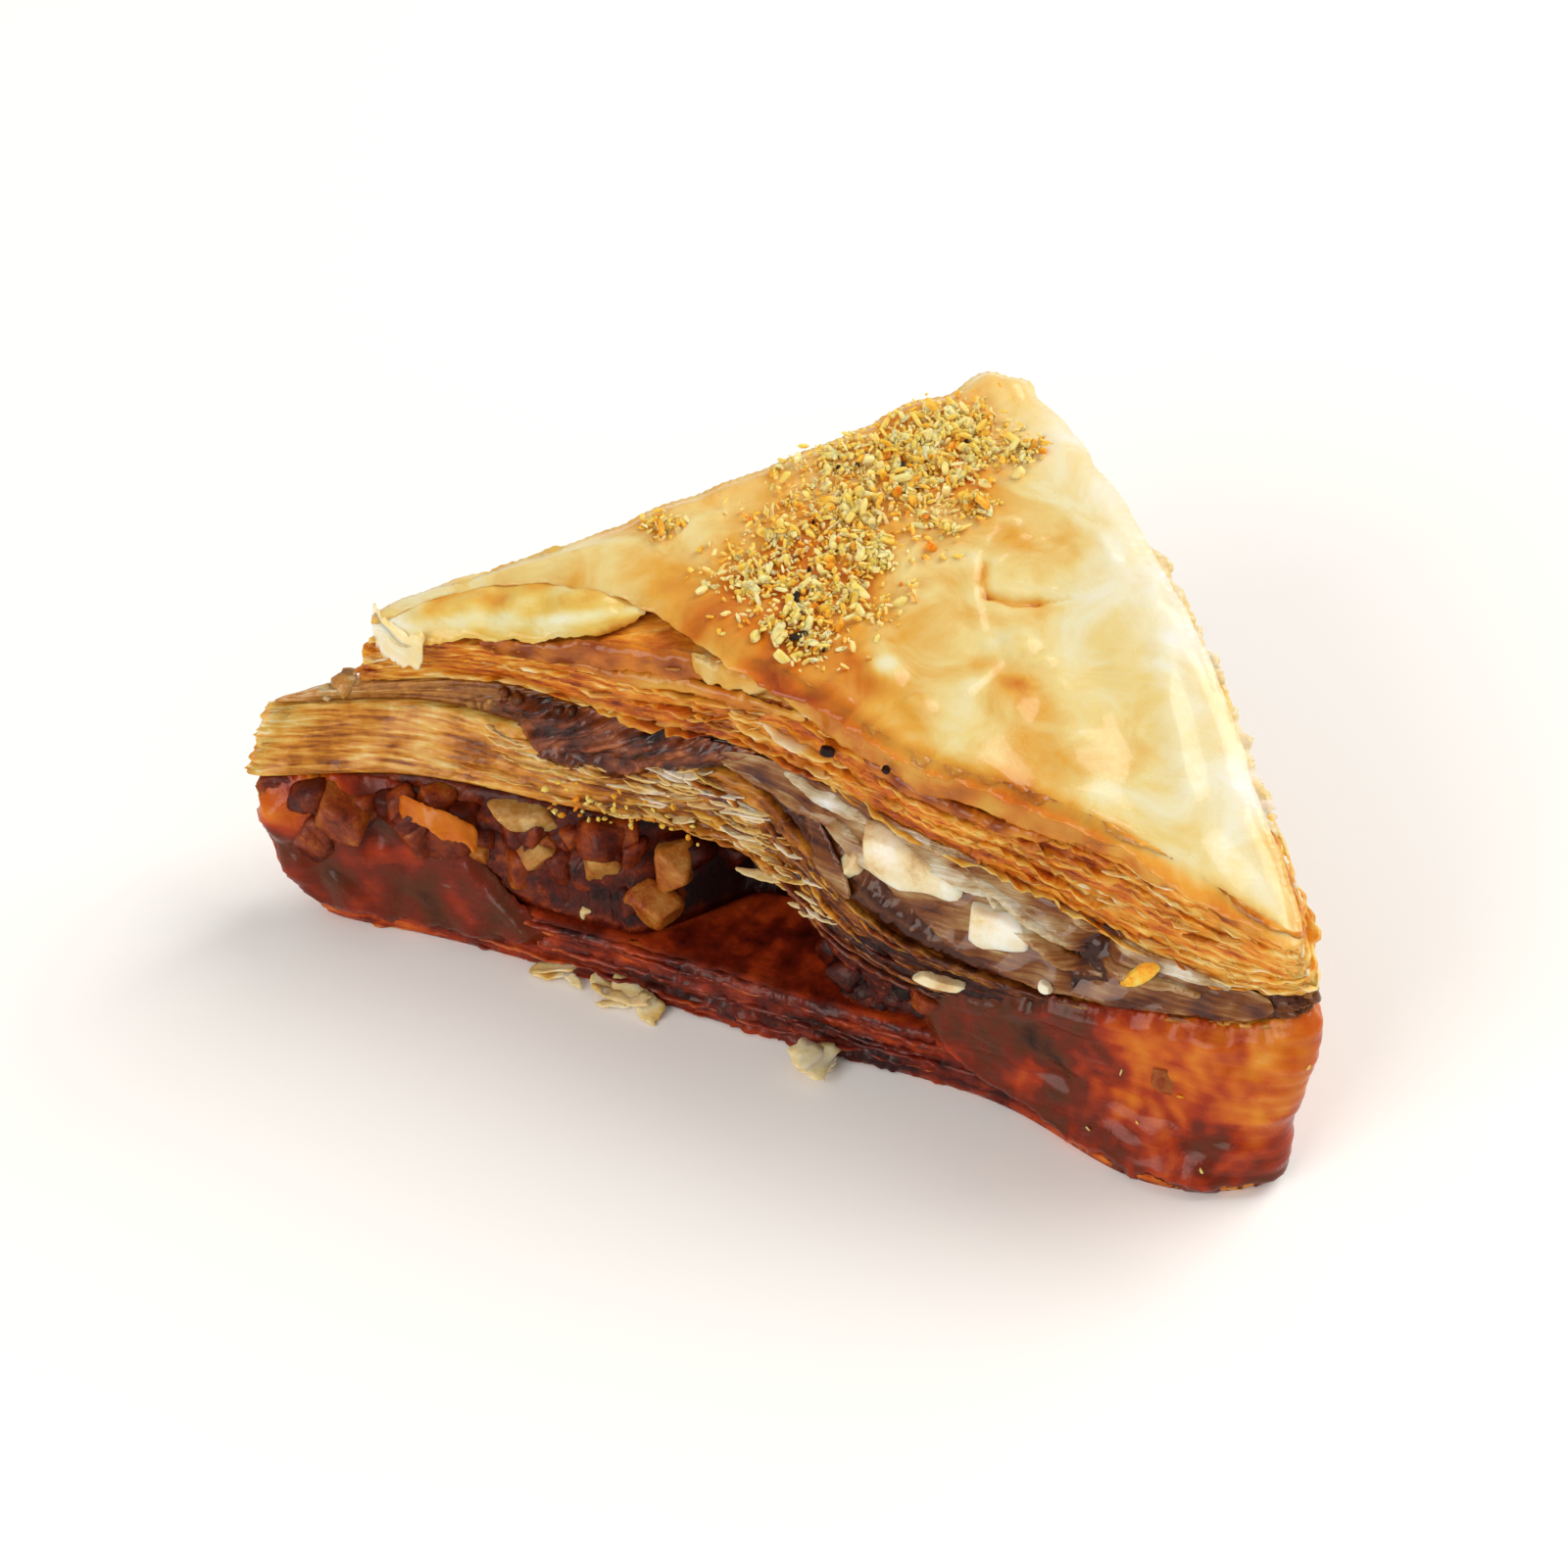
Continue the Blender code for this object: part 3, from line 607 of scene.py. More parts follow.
def chopped(rng, centre, size, detail, turn=math.pi, within=None, tip=0.5, lean=0.0):
    """A chopped nut: a ball cut to a block by flat knife strokes, its edges a little rounded.

    Turn and tip say how far it may be turned by chance, and within keeps it between two levels.
    """
    ways, faces = BALLS[detail]
    square = np.eye(3) + rng.uniform(-0.28, 0.28, (3, 3))
    opposite = -square + rng.uniform(-0.2, 0.2, (3, 3))
    strokes = np.concatenate([square, opposite, rng.normal(size=(rng.integers(1, 5), 3))])
    strokes /= np.linalg.norm(strokes, axis=1)[:, None]
    depth = np.concatenate([rng.uniform(0.68, 0.9, 6), rng.uniform(0.72, 0.98, len(strokes) - 6)])
    facing = np.maximum(ways @ strokes.T, 0.0) / depth
    radius = np.minimum((facing ** SHARPNESS).sum(1) ** (-1 / SHARPNESS), 1.12)
    points = ways * radius[:, None] * np.array(size) / 2
    angles = rng.uniform(-1, 1, 3) * (tip, tip, turn) + (0.0, lean, 0.0)
    spin = Euler(angles).to_matrix()
    points = points @ np.array(spin).T + np.array(centre)
    if within:
        low, high = within
        floor = height(low, points[:, 0], points[:, 1]) + 0.05
        ceiling = height(high, points[:, 0], points[:, 1]) - 0.05
        points[:, 2] = np.clip(points[:, 2], floor, ceiling)
    return points, faces


def nut_flesh(name, stops, colours, rough, coat, glow, mottle=0.4, groove_mm=0.2):
    """Nut flesh and thin skin under syrup: waxy, with fine grooves and darker skin in patches."""
    fields = (
        (None, {"Scale": 0.6, "Detail": 5.0, "Roughness": 0.6}, mottle),
        (None, {"Scale": 2.4, "Detail": 6.0, "Roughness": 0.65, "Distortion": 1.2}, mottle / 2),
    )
    grooves = ((1, 0.5, groove_mm),)
    return in_syrup(
        name, stops, colours, fields, grooves, rough, dull=0.0, coat=coat, coat_rough=0.08,
        glow=glow, glow_mm=1.2, reach=(1.0, 0.5, 0.2),
    )


# Chopped walnut and almond under syrup: brown and waxy, paler where the knife cut last.
syrup_nuts = nut_flesh(
    "nuts_in_dark_syrup",
    (0, 0.22, 0.42, 0.58, 0.76, 1),
    "#E2C890 #BC8C48 #A8621E #8C3810 #581808 #1C0504",
    rough=0.28, coat=0.16, glow=0.35, mottle=0.3,
)

# The nuts that show in the cut face: place, size, and how dark the syrup has made each.
LOWER_NUTS = (
    ((-9.0, -13.2, 9.8), (3.2, 3.8, 4.6), 0.42),
    ((-10.4, -14.4, 6.4), (4.6, 3.8, 3.6), 0.44),
    ((-14.6, -14.0, 9.2), (3.4, 3.6, 4.4), 0.34),
    ((-20.6, -13.8, 11.2), (5.8, 4.0, 2.4), 0.22),
    ((-19.4, -14.6, 8.6), (3.8, 3.6, 2.8), 0.32),
    ((-23.8, -15.0, 7.4), (2.0, 2.6, 3.4), 0.42),
    ((-15.1, -15.6, 4.9), (1.2, 1.2, 1.6), 0.02),
    ((-28.4, -15.6, 8.4), (4.6, 4.0, 4.2), 0.62),
    ((-34.0, -17.2, 9.4), (5.6, 4.2, 4.4), 0.58),
    ((-37.4, -16.8, 7.0), (4.0, 4.0, 3.6), 0.64),
    ((12.6, -16.2, 6.3), (5.0, 3.0, 2.0), 0.62),
    ((22.0, -16.2, 7.0), (4.0, 3.4, 2.4), 0.60),
    ((31.0, -17.4, 7.6), (5.4, 3.6, 3.0), 0.46),
)
LOWER_SOAK = (0.60, 0.68, 0.74, 0.84, 0.84, 0.76, 0.52, 0.42)
LOWER_SCATTER = 230

rng = np.random.default_rng(102)
syrup, lower = Build(), Build()
lower_soak = by_station(LOWER_SOAK, 0.6)
mid_ring = (RINGS[FLOOR_SEAM] + RINGS[LOW_SEAM]) / 2
across = (mid_ring[:, 0] - POCKET_X) / POCKET_WIDE
hollowed = np.where(ON_FACE, eased(2.2 * (1 - np.abs(across))), 0.0)
dent = POCKET_DEEP * hollowed
# Darker in the pocket: painted shade in the hollow.
syrup_soak = lower_soak + 0.06 + POCKET_PAINTED_SHADE * hollowed
heart(
    syrup, rng, FLOOR_SEAM, LOW_SEAM, rows=14, inset=0.9, rough=0.7, soak=syrup_soak,
    warp=warp_of(rng, 0.6), tone=0.1, dent=dent,
)
syrup.object("lower_syrup", syrup_nuts, "syrup_nuts", "nuts_lower")
for place, size, dark in LOWER_NUTS:
    lower.add(*chopped(rng, place, size, 4, turn=0.4, within=(FLOOR_SEAM, LOW_SEAM), tip=0.25), dark)
inward = inward_of(mid_ring)
for k in range(LOWER_SCATTER):
    i = int((k + rng.uniform()) / LOWER_SCATTER * RING) % RING
    size = rng.uniform(2.0, 4.8)
    sunk = 0.8 if ON_FACE[i] and mid_ring[i, 0] > 6 else 0.0
    x, y = mid_ring[i] + inward[i] * (1.2 + size * rng.uniform(0.15, 0.5) + dent[i] + sunk)
    z = between(FLOOR_SEAM, LOW_SEAM, rng.uniform(0.15, 0.85), x, y)
    shape = size * rng.uniform(0.7, 1.15, 3)
    # Nuts inside the pocket are darker too: painted shade in the hollow.
    dark = lower_soak[i] + rng.uniform(-0.16, 0.1) * (1 - sunk * 0.8) + 0.2 * hollowed[i]
    dark = float(np.clip(dark, 0.1, 0.88)) + 0.08 * float(eased((-20 - x) / 4)) * ON_FACE[i]
    detail = 3 if ON_FACE[i] and mid_ring[i, 0] < 10 else 2
    lower.add(*chopped(rng, (x, y, z), shape, detail, within=(FLOOR_SEAM, LOW_SEAM)), dark)
lower.object("lower_nuts", syrup_nuts, "syrup_nuts", "nuts_lower")

# The middle stack.
# Nearly thirty thin sheets between the two nut layers: soft, tan and frayed where the nuts below
# have gone and the stack has sunk, banded like wood grain at the left end, and brown on the right.

# Baked phyllo that has drunk a little syrup: tan to brown, and silky along its fibres.
baked_phyllo = phyllo(
    "soft_baked_phyllo",
    (0, 0.2, 0.4, 0.58, 0.78, 1),
    "#F6E8BE #E8B860 #D28A2A #A05C1A #5E280C #280A06",
    blotch=0.4, fibre=0.34, rough=0.24, coat=0.25, glow=0.35, glow_mm=1.4,
)

MIDDLE_ROWS, MIDDLE_LEAVES = 28, 12
MIDDLE_SOAK = (0.38, 0.36, 0.48, 0.60, 0.88, 0.92, 0.60, 0.40)
MIDDLE_FRAY = (0.35, 0.5, 0.7, 0.8, 0.5, 0.4, 0.4, 0.4)
MIDDLE_STAND = (-0.5, -0.4, -0.1, -0.1, -0.1, -0.4, -0.5, -0.4)

rng = np.random.default_rng(103)
middle = Build()
middle_soak = by_station(MIDDLE_SOAK, 0.36)
middle_fray = by_station(MIDDLE_FRAY, 0.6)
middle_stand = by_station(MIDDLE_STAND, -0.1)
warp = warp_of(rng, 1.2)
heart(
    middle, rng, LOW_SEAM, MIDDLE_SEAM, MIDDLE_ROWS, inset=0.2, rough=0.32, soak=middle_soak, warp=warp,
    tone=0.14, cap=0.12,
)
leaves(
    middle, rng, LOW_SEAM, MIDDLE_SEAM, MIDDLE_LEAVES, middle_soak, shades=(-0.2, 0.12), thick=(0.08, 0.26),
    fray=middle_fray, warp=warp, curl=0.22, stand=middle_stand,
)
middle.object("middle_stack", baked_phyllo, "baked_phyllo", "phyllo_middle")

# The syrup skin.
# Syrup that ran down the cut face and set: a clear red-brown skin that joins the lower layers into
# one lump at the left corner, and at the right into one orange block.
FACE_RING = RINGS[LOW_SEAM]
FACE_RUN = np.maximum.accumulate(np.where(ON_FACE, FACE_RING[:, 0], 0.0))
FACE_RUN[FRONT_FINE:] += np.cumsum(np.hypot(*(FACE_RING - np.roll(FACE_RING, 1, 0)).T)[FRONT_FINE:])
FACE_OUT = outward_of(FACE_RING)


def on_face(u, z, stand):
    """Points that far along the cut face and that high, standing out of it by so much.

    The way along is measured as x on the face, and goes on round the right corner.
    """
    place, every = np.interp(u, FACE_RUN, np.arange(RING)), np.arange(RING)
    rows = [along_line(place, every, ring) for ring in RINGS]
    heights = [height(level, *row.T) for level, row in enumerate(rows)]
    plan = rows[0]
    for low in range(5):
        share = np.clip((z - heights[low]) / (heights[low + 1] - heights[low]), 0, 1)
        plan = plan + (rows[low + 1] - rows[low]) * share[:, None]
    out = along_line(place, every, FACE_OUT)
    return np.column_stack([plan + out * np.asarray(stand)[:, None], z])


def face_spot(u, z, stand):
    """One place on the cut face, given in the same way."""
    return on_face(np.array([u]), np.array([z]), [stand])[0]


def bumps(u, z, size, seed=0.0):
    """Rounded lumps of about that size, from 0 between them to 1 on top."""
    near = [noise.voronoi(Vector((a / size, b / size, seed)))[0][0] for a, b in zip(u, z)]
    return 1 - np.minimum(1.0, 1.5 * np.array(near)) ** 2


def drift(u, z, size, seed=0.0):
    """A smooth random value that changes over about that size, from -1 to 1."""
    return np.array([noise.noise(Vector((a / size, b / size, seed))) for a, b in zip(u, z)]) * 1.6


def bell(distance, width):
    return np.exp(-((distance / width) ** 2))


def film(build, rng, corners, stand, tone, fray=0.4, thick=0.2, spacing=0.3, edge=1.2, under=-0.3):
    """A skin on the cut face, with that outline along and up it.

    It sinks to under over the last edge millimetres, or stands free to its rim if edge is 0.
    """
    outline = torn_outline(rng, corners, fray, 0.3)

    def surface(u, z):
        inner = eased(from_edge(u, z, outline) / edge) if edge else 1.0
        return on_face(u, z, under + (stand(u, z) - under) * inner)

    sheet(build, outline, surface, thick, spacing, tone)


def ribbon(build, rng, path, hang, tone, fray, wave, thick=0.12):
    """A strip of torn sheet along a path; hang says which way and how far it hangs from that."""
    path, hang = np.array(path, float), np.array(hang, float)
    run = np.concatenate([[0], np.cumsum(np.linalg.norm(np.diff(path, axis=0), axis=1))])
    wide = np.linalg.norm(hang)
    corners = [(x, -0.15 * wide) for x in np.linspace(0, run[-1], 5)]
    corners += [(x, wide * rng.uniform(0.7, 1.0)) for x in np.linspace(run[-1] * 0.97, run[-1] * 0.03, 7)]
    outline = torn_outline(rng, corners, fray, 0.25)
    phase = rng.uniform(0, 6)

    def surface(x, y):
        line = np.column_stack([along(run, path[:, axis], np.clip(x, 0, run[-1])) for axis in range(3)])
        ripple = wave * np.sin(x * 2.4 + phase + 0.8 * np.sin(x * 0.9)) * np.clip(y / wide, 0, 1)
        return line + (y / wide)[:, None] * hang + ripple[:, None] * np.array([0.3, -0.3, 0.9])

    sheet(build, outline, surface, thick, 0.35, tone)


# Set sugar syrup: clear, orange where it is thin and brown where it is thick, and shiny.
clear_syrup = phyllo(
    "clear_brown_syrup",
    (0, 0.25, 0.42, 0.55, 0.68, 0.82, 1),
    "#FAC064 #E88420 #D05C10 #A83208 #702008 #58280E #200C06",
    blotch=0.14, fibre=0.06, rough=0.18, coat=0.2, glow=0.4, glow_mm=2.0,
)
# The outlines of the lump and of the block, along the cut face and up it.
LEFT_LUMP = (
    (-42.6, 1.4), (-36, 0.5), (-28, 0.4), (-23, 1.2), (-20.5, 3.4), (-23.5, 5.4), (-25.5, 8.2),
    (-27, 10.8), (-31, 12.0), (-36, 11.8), (-40, 11.0), (-42.8, 8.6), (-43.4, 5.0),
)
RIGHT_BLOCK = (
    (11.5, 4.6), (13, 2.6), (17, 1.0), (22, 0.2), (30, 0.1), (38, 0.1), (43, 0.2), (46.5, 1.6),
    (45.4, 4.6), (47, 8), (45.6, 12.0), (43, 14.6), (40, 14.6), (36, 13.6), (31, 13.0), (26, 12.6),
    (21, 11.6), (16.5, 10.2), (13.5, 8.6), (11.8, 6.8),
)

rng = np.random.default_rng(110)
syrup_skin = Build()


def lump_stand(u, z):
    return 0.3 + 0.5 * bumps(u, z, 4.6) + 0.15 * bumps(u, z, 1.8, 4.0) + 0.2 * drift(u, z * 1.4, 2.4, 8.0)


def lump_tone(u, z):
    orange = eased((z - 6.5) / 3) * eased((-33 - u) / 4)
    foot = eased(1 - z / 1.8) * (0.5 + 0.5 * drift(u, z, 3.0, 11.0))
    return 0.74 - 0.08 * bumps(u, z, 4.6) - 0.2 * orange + 0.16 * drift(u, z, 2.6) - 0.4 * foot


def block_stand(u, z):
    pressed = np.sin(z * 5.2 + 2.5 * drift(u, z, 5.0, 8.0)) * (0.5 + 0.5 * drift(u, z, 3.0, 7.0))
    stands = 0.5 + 0.3 * bumps(u, z, 5.0, 2.0) + 0.25 * drift(u, z * 1.6, 3.2, 5.0) + 0.08 * pressed
    return -0.2 + (stands + 0.2) * eased((47.5 - u) / 7)


def block_tone(u, z):
    right, high = eased((u - 20) / 13), eased((z - 3) / 6)
    patch = 0.12 * drift(u, z, 3.0, 9.0) + 0.08 * drift(u, z, 1.0, 3.0) - 0.06 * bumps(u, z, 4.2, 2.0)
    brown = eased((27 - u) / 5) * eased((z - 4) / 3)
    foot = eased(1 - z / 1.6) * bell(u - 22.0, 5.0)
    return 0.70 - right * (0.08 + 0.20 * high) + 0.12 * brown + patch + 0.12 * eased(1 - z / 3) - 0.4 * foot


film(syrup_skin, rng, LEFT_LUMP, lump_stand, lump_tone)
film(syrup_skin, rng, RIGHT_BLOCK, block_stand, block_tone)
# A soaked sheet that has curled out between the nuts near the left corner.
CURLED = on_face(*np.array([[-30.2, -28.0, -25.8, -24.2], [11.4, 12.0, 11.6, 10.2], [1.0, 1.9, 1.9, 1.2]]))
ribbon(syrup_skin, rng, CURLED, (0.5, -1.0, -1.5), 0.34, fray=0.2, wave=0.25, thick=0.14)
syrup_skin.object("syrup_skin", clear_syrup, "soaked_phyllo", "phyllo_bottom", "nuts_lower", "phyllo_middle")

# The upper nuts.
# A thinner layer: finely chopped and almost black with syrup on the left, and on the right big
# blanched almond pieces that stayed cream and white.

# Blanched almond: smooth, cream and white, and brown only where paste clings to it.
pale_nuts = nut_flesh(
    "blanched_nuts_and_paste",
    (0, 0.2, 0.4, 0.58, 0.78, 1),
    "#FAF4E6 #EAD6A8 #BC8440 #7C4416 #4A200C #1E0A06",
    rough=0.2, coat=0.4, glow=0.4, mottle=0.16, groove_mm=0.06,
)

# The pieces that show: how far along the cut face, how high, size, how dark, how far out, and lean.
UPPER_NUTS = (
    (7.9, 17.3, (10.4, 4.2, 4.2), 0.14, 0.9, 0.36),
    (15.8, 15.2, (6.0, 3.0, 4.8), 0.06, 0.9, 0.1),
    (4.0, 16.2, (2.2, 2.6, 3.2), 0.30, 0.4, 0.5),
    (13.4, 10.4, (4.2, 1.4, 0.9), 0.20, 0.9, 0.06),
    (20.8, 12.8, (1.1, 1.0, 1.0), 0.14, 0.9, 0.0),
)
# How soaked the upper nuts look at each station; the dark at 0.9 is partly syrup and partly painted shade for
# the gap between the block and the upper stack.
UPPER_SOAK_AND_GAP_SHADE = (0.36, 0.52, 0.82, 0.74, 0.74, 0.76, 0.86, 0.60)
UPPER_SCATTER = 300

rng = np.random.default_rng(104)
upper = Build()
upper_soak_and_gap_shade = by_station(UPPER_SOAK_AND_GAP_SHADE, 0.6)
heart(
    upper, rng, MIDDLE_SEAM, HIGH_SEAM, rows=12, inset=0.5, rough=0.5, soak=upper_soak_and_gap_shade + 0.04,
    warp=warp_of(rng), tone=0.08,
)
for u, z, size, dark, out, lean in UPPER_NUTS:
    place = face_spot(u, z, out - size[1] / 2)
    points, faces = chopped(rng, place, size, 4, turn=0.15, tip=0.1, lean=lean)
    upper.add(points, faces, dark + 0.14 * drift(points[:, 0], points[:, 2], 2.4, dark))
mid_ring = (RINGS[MIDDLE_SEAM] + RINGS[HIGH_SEAM]) / 2
inward = inward_of(mid_ring)
for k in range(UPPER_SCATTER):
    i = int((k + rng.uniform()) / UPPER_SCATTER * RING) % RING
    if ON_FACE[i] and not -27 < mid_ring[i, 0] < 3:
        continue
    size = rng.uniform(0.6, 1.5) * (1.0 if ON_FACE[i] else 1.6)
    x, y = mid_ring[i] + inward[i] * (0.5 + size * rng.uniform(0.1, 0.5))
    z = between(MIDDLE_SEAM, HIGH_SEAM, rng.uniform(0.1, 0.9), x, y)
    shape = size * rng.uniform(0.7, 1.15, 3)
    dark = float(np.clip(upper_soak_and_gap_shade[i] + rng.uniform(-0.12, 0.12), 0.1, 1.0))
    upper.add(*chopped(rng, (x, y, z), shape, 2, within=(MIDDLE_SEAM, HIGH_SEAM)), dark)
upper.object("upper_nuts", pale_nuts, "pale_nuts", "nuts_upper")

# On the left the filling is a paste that has bulged out over the stack below: nuts ground into
# syrup, dark brown and wet, with paler grains.
nut_paste = nut_flesh(
    "wet_nut_paste",
    (0, 0.3, 0.55, 0.8, 1),
    "#DCA070 #A45C30 #743416 #42180C #180606",
    rough=0.14, coat=0.6, glow=0.3, mottle=0.36,
)
PASTE = (
    (-27.5, 19.6), (-24.4, 18.0), (-21, 16.4), (-17, 15.8), (-12.5, 16.0), (-9.0, 17.4), (-6.6, 19.2),
    (-8.0, 20.6), (-12, 21.0), (-17, 20.8), (-22, 20.4),
)
paste = Build()


def paste_stand(u, z):
    return 0.25 + 0.45 * bumps(u, z, 2.2, 1.0) + 0.3 * bumps(u, z, 0.9, 3.0)


def paste_tone(u, z):
    return 0.74 - 0.26 * bumps(u, z, 0.8, 3.0) + 0.24 * drift(u, z, 1.8, 2.0)


film(paste, rng, PASTE, paste_stand, paste_tone, fray=0.5, spacing=0.2, edge=1.0)
paste.object("nut_paste", nut_paste, "pale_nuts", "nuts_upper")

# Thin wet sheets that the knife dragged down over the almonds: the line of each along and up the
# face, how wide it hangs from that, how far it stands out, and its tone.
DRAGGED = (
    (((1, 20.2), (7, 19.8), (14, 18.2), (20, 17.2), (27, 16.4), (36, 15.8)), 5.0, 0.1, 0.60),
    (((-9, 20.6), (-5, 20.8), (-1, 20.8), (3, 20.7)), 2.4, 0.5, 0.62),
    (((-8, 19.4), (-4, 19.4), (0, 19.2), (3.4, 18.4)), 0.9, 0.7, 0.42),
    (((-4, 20.6), (0, 20.4), (4, 20.0)), 0.8, 0.7, 0.30),
    (((0, 18.0), (2.6, 16.8), (5.0, 14.8)), 1.6, 0.1, 0.62),
    (((3, 20.9), (8, 20.6), (13, 19.6), (18, 18.5), (24, 17.6)), 1.3, 0.5, 0.48),
    (((5.6, 20.4), (8.4, 20.4), (11.6, 19.6), (14.6, 18.2)), 1.8, 1.0, 0.22),
    (((9, 20.2), (13, 19.0), (17, 17.6), (21, 16.6), (24.5, 16.2)), 0.9, 0.9, 0.32),
    (((12, 19.4), (16, 18.2), (20, 17.3), (25, 16.6), (30, 16.2)), 1.1, 0.7, 0.40),
    (((13.5, 18.0), (16.4, 17.0), (19.4, 16.0), (22, 15.0), (24, 14.4)), 1.0, 1.0, 0.34),
    (((18, 17.0), (22, 16.2), (26, 15.6), (31, 15.2)), 0.9, 0.8, 0.34),
    (((20, 18.0), (24, 17.3), (28, 16.8), (33, 16.2)), 0.8, 0.7, 0.28),
    (((1, 18.6), (4, 18.2), (6.4, 17.0)), 1.0, 0.6, 0.36),
)
# Where a piece has dropped out beside the almonds, and how wide its hollow is: sheets sink in there and are
# darkened as painted shade.
HOLE_U, HOLE_Z, HOLE_WIDE = 23.0, 15.4, 1.3
sheets = Build()


def hole_dent_and_painted_shade(u, z):
    return bell(np.hypot(u - HOLE_U, (z - HOLE_Z) * 0.7), HOLE_WIDE)


for line, wide, out, tone in DRAGGED:
    top_line = np.array(line)
    steps = np.linspace(0, 1, len(line))
    low_line = top_line - np.column_stack([0 * steps, wide * (0.35 + 0.65 * np.sin(math.pi * steps))])

    def hanging(u, z, top_line=top_line, wide=wide, out=out):
        below = np.clip((np.interp(u, *top_line.T) - z) / wide, 0, 1)
        return out * below ** 0.7 + 0.12 * drift(u, z, 2.0, wide) - 1.2 * hole_dent_and_painted_shade(u, z)

    def tinted(u, z, tone=tone):
        # Darker at the hole: painted shade.
        return tone + 0.18 * drift(u * 0.6, z, 1.2, tone) + 0.6 * hole_dent_and_painted_shade(u, z)

    outline = np.concatenate([low_line, top_line[::-1]])
    film(sheets, rng, outline, hanging, tinted, fray=0.08, thick=0.08, spacing=0.22, edge=0.0)

# Phyllo thinned by syrup: grey-white where it is dry, brown and shiny where it is wet.
dragged_phyllo = phyllo(
    "thin_wet_phyllo",
    (0, 0.2, 0.4, 0.6, 0.8, 1),
    "#F4EEE4 #D2BE9C #AC8050 #824818 #54240E #240A06",
    blotch=0.26, fibre=0.3, rough=0.16, coat=0.6, glow=0.3, glow_mm=1.2,
)
sheets.object("dragged_sheets", dragged_phyllo, "pale_nuts", "nuts_upper")

# The upper stack.
# Thirty sheets brushed with butter and baked crisp: orange-brown where the knife crushed them,
# with thin pale edges, and frilly and see-through along the uncut right side.

# Phyllo baked crisp in butter: golden to orange-brown, grained, and only a little shiny.
golden_phyllo = phyllo(
    "crisp_buttered_phyllo",
    (0, 0.2, 0.4, 0.58, 0.78, 1),
    "#FAE8B6 #F2C064 #E28E28 #C06018 #7C2E0C #340E08",
    blotch=0.26, fibre=0.40, rough=0.25, coat=0.2, glow=0.35, glow_mm=1.4,
)

TOP_ROWS, TOP_LEAVES = 30, 11
TOP_SOAK = (0.40, 0.44, 0.46, 0.46, 0.50, 0.48, 0.36, 0.32)
TOP_FRAY = (0.5, 0.6, 0.9, 0.8, 0.8, 0.9, 0.7, 0.5)
RIGHT_SIDE = (ROUND_SIDES > 0.04) & (ROUND_SIDES < 0.46)
# How far its top lies under the top sheet, and for how many more leaves there is room up there.
TOP_SINK, TOP_ROOM = 1.3, 4

rng = np.random.default_rng(105)
top = Build()
top_soak = by_station(TOP_SOAK, 0.26)
top_fray = np.where(RIGHT_SIDE, 1.2, by_station(TOP_FRAY, 0.6))
warp = warp_of(rng, 1.2)
heart(
    top, rng, HIGH_SEAM, CREST, TOP_ROWS, inset=0.25, rough=0.38, soak=top_soak + 0.02, warp=warp,
    tone=0.14, sink=TOP_SINK,
)
leaves(
    top, rng, HIGH_SEAM, CREST, TOP_LEAVES, top_soak, shades=(-0.22, 0.12), thick=(0.08, 0.26),
    fray=top_fray, warp=warp, curl=0.25, room=TOP_ROOM,
)
top.object("upper_stack", golden_phyllo, "golden_phyllo", "phyllo_top")

# Sheets that stick out along the right side, pale and see-through: path and which way each hangs.
FRILLS = (
    (((16.0, 14.6, 26.4), (19.4, 11.4, 25.4), (23.0, 7.0, 24.2), (25.6, 3.0, 23.2)), (1.2, 1.0, -0.4), 0.14),
    (((20.8, 9.6, 24.2), (24.6, 4.6, 23.2), (28.4, -0.6, 22.2)), (1.4, 1.2, -0.2), 0.08),
    (((25.0, 3.4, 24.6), (28.6, -1.4, 23.6), (32.0, -6.2, 23.0)), (1.2, 1.0, -0.1), 0.10),
    (((28.0, -0.8, 22.2), (31.6, -5.4, 21.6), (34.6, -9.8, 21.2)), (1.5, 1.3, -0.6), 0.16),
    (((31.4, -5.4, 23.4), (34.0, -9.4, 22.8), (36.8, -13.6, 22.4)), (1.0, 0.8, -0.2), 0.06),
    (((24.0, 4.8, 20.8), (28.0, -0.4, 20.2), (33.0, -7.0, 19.6)), (1.3, 1.1, -0.6), 0.26),
)
frill = Build()
for path, hang, tone in FRILLS:
    ribbon(frill, rng, path, hang, tone + 0.1, fray=0.4, wave=0.35)
frill.object("side_frills", dry_flakes, "golden_phyllo", "phyllo_top")

# Torn bits that stand off the cut face: the levels they lie between, from where to where along x,
# how many, and their tone.
TORN_BITS = (
    (HIGH_SEAM, CREST, (-30, 36), 26, 0.52),
    (LOW_SEAM, MIDDLE_SEAM, (-24, 6), 26, 0.50),
    (LOW_SEAM, MIDDLE_SEAM, (-15, -2), 30, 0.26),
    (LOW_SEAM, MIDDLE_SEAM, (-5, 5), 26, 0.34),
)
bits = Build()
for low, high, (left, right), count, tone in TORN_BITS:
    for k in range(count):
        share = rng.uniform(0.06, 0.9)
        plan = RINGS[low] + (RINGS[high] - RINGS[low]) * share
        x = rng.uniform(left, right)
        i = int(np.argmin(np.abs(plan[:FRONT_FINE, 0] - x)))
        x, y = plan[i] + rng.uniform(-0.1, 0.5) * inward_of(plan)[i]
        z = between(low, high, share, x, y)
        size, shade = (rng.uniform(2.0, 5.5), rng.uniform(0.6, 1.1)), tone + rng.uniform(-0.14, 0.16)
        scrap(bits, rng, (x, y, z), size, shade, tilt=0.22, curl=0.12, thick=0.08, turn=0.25)
bits.object("torn_bits", dry_flakes, "golden_phyllo", "phyllo_top")
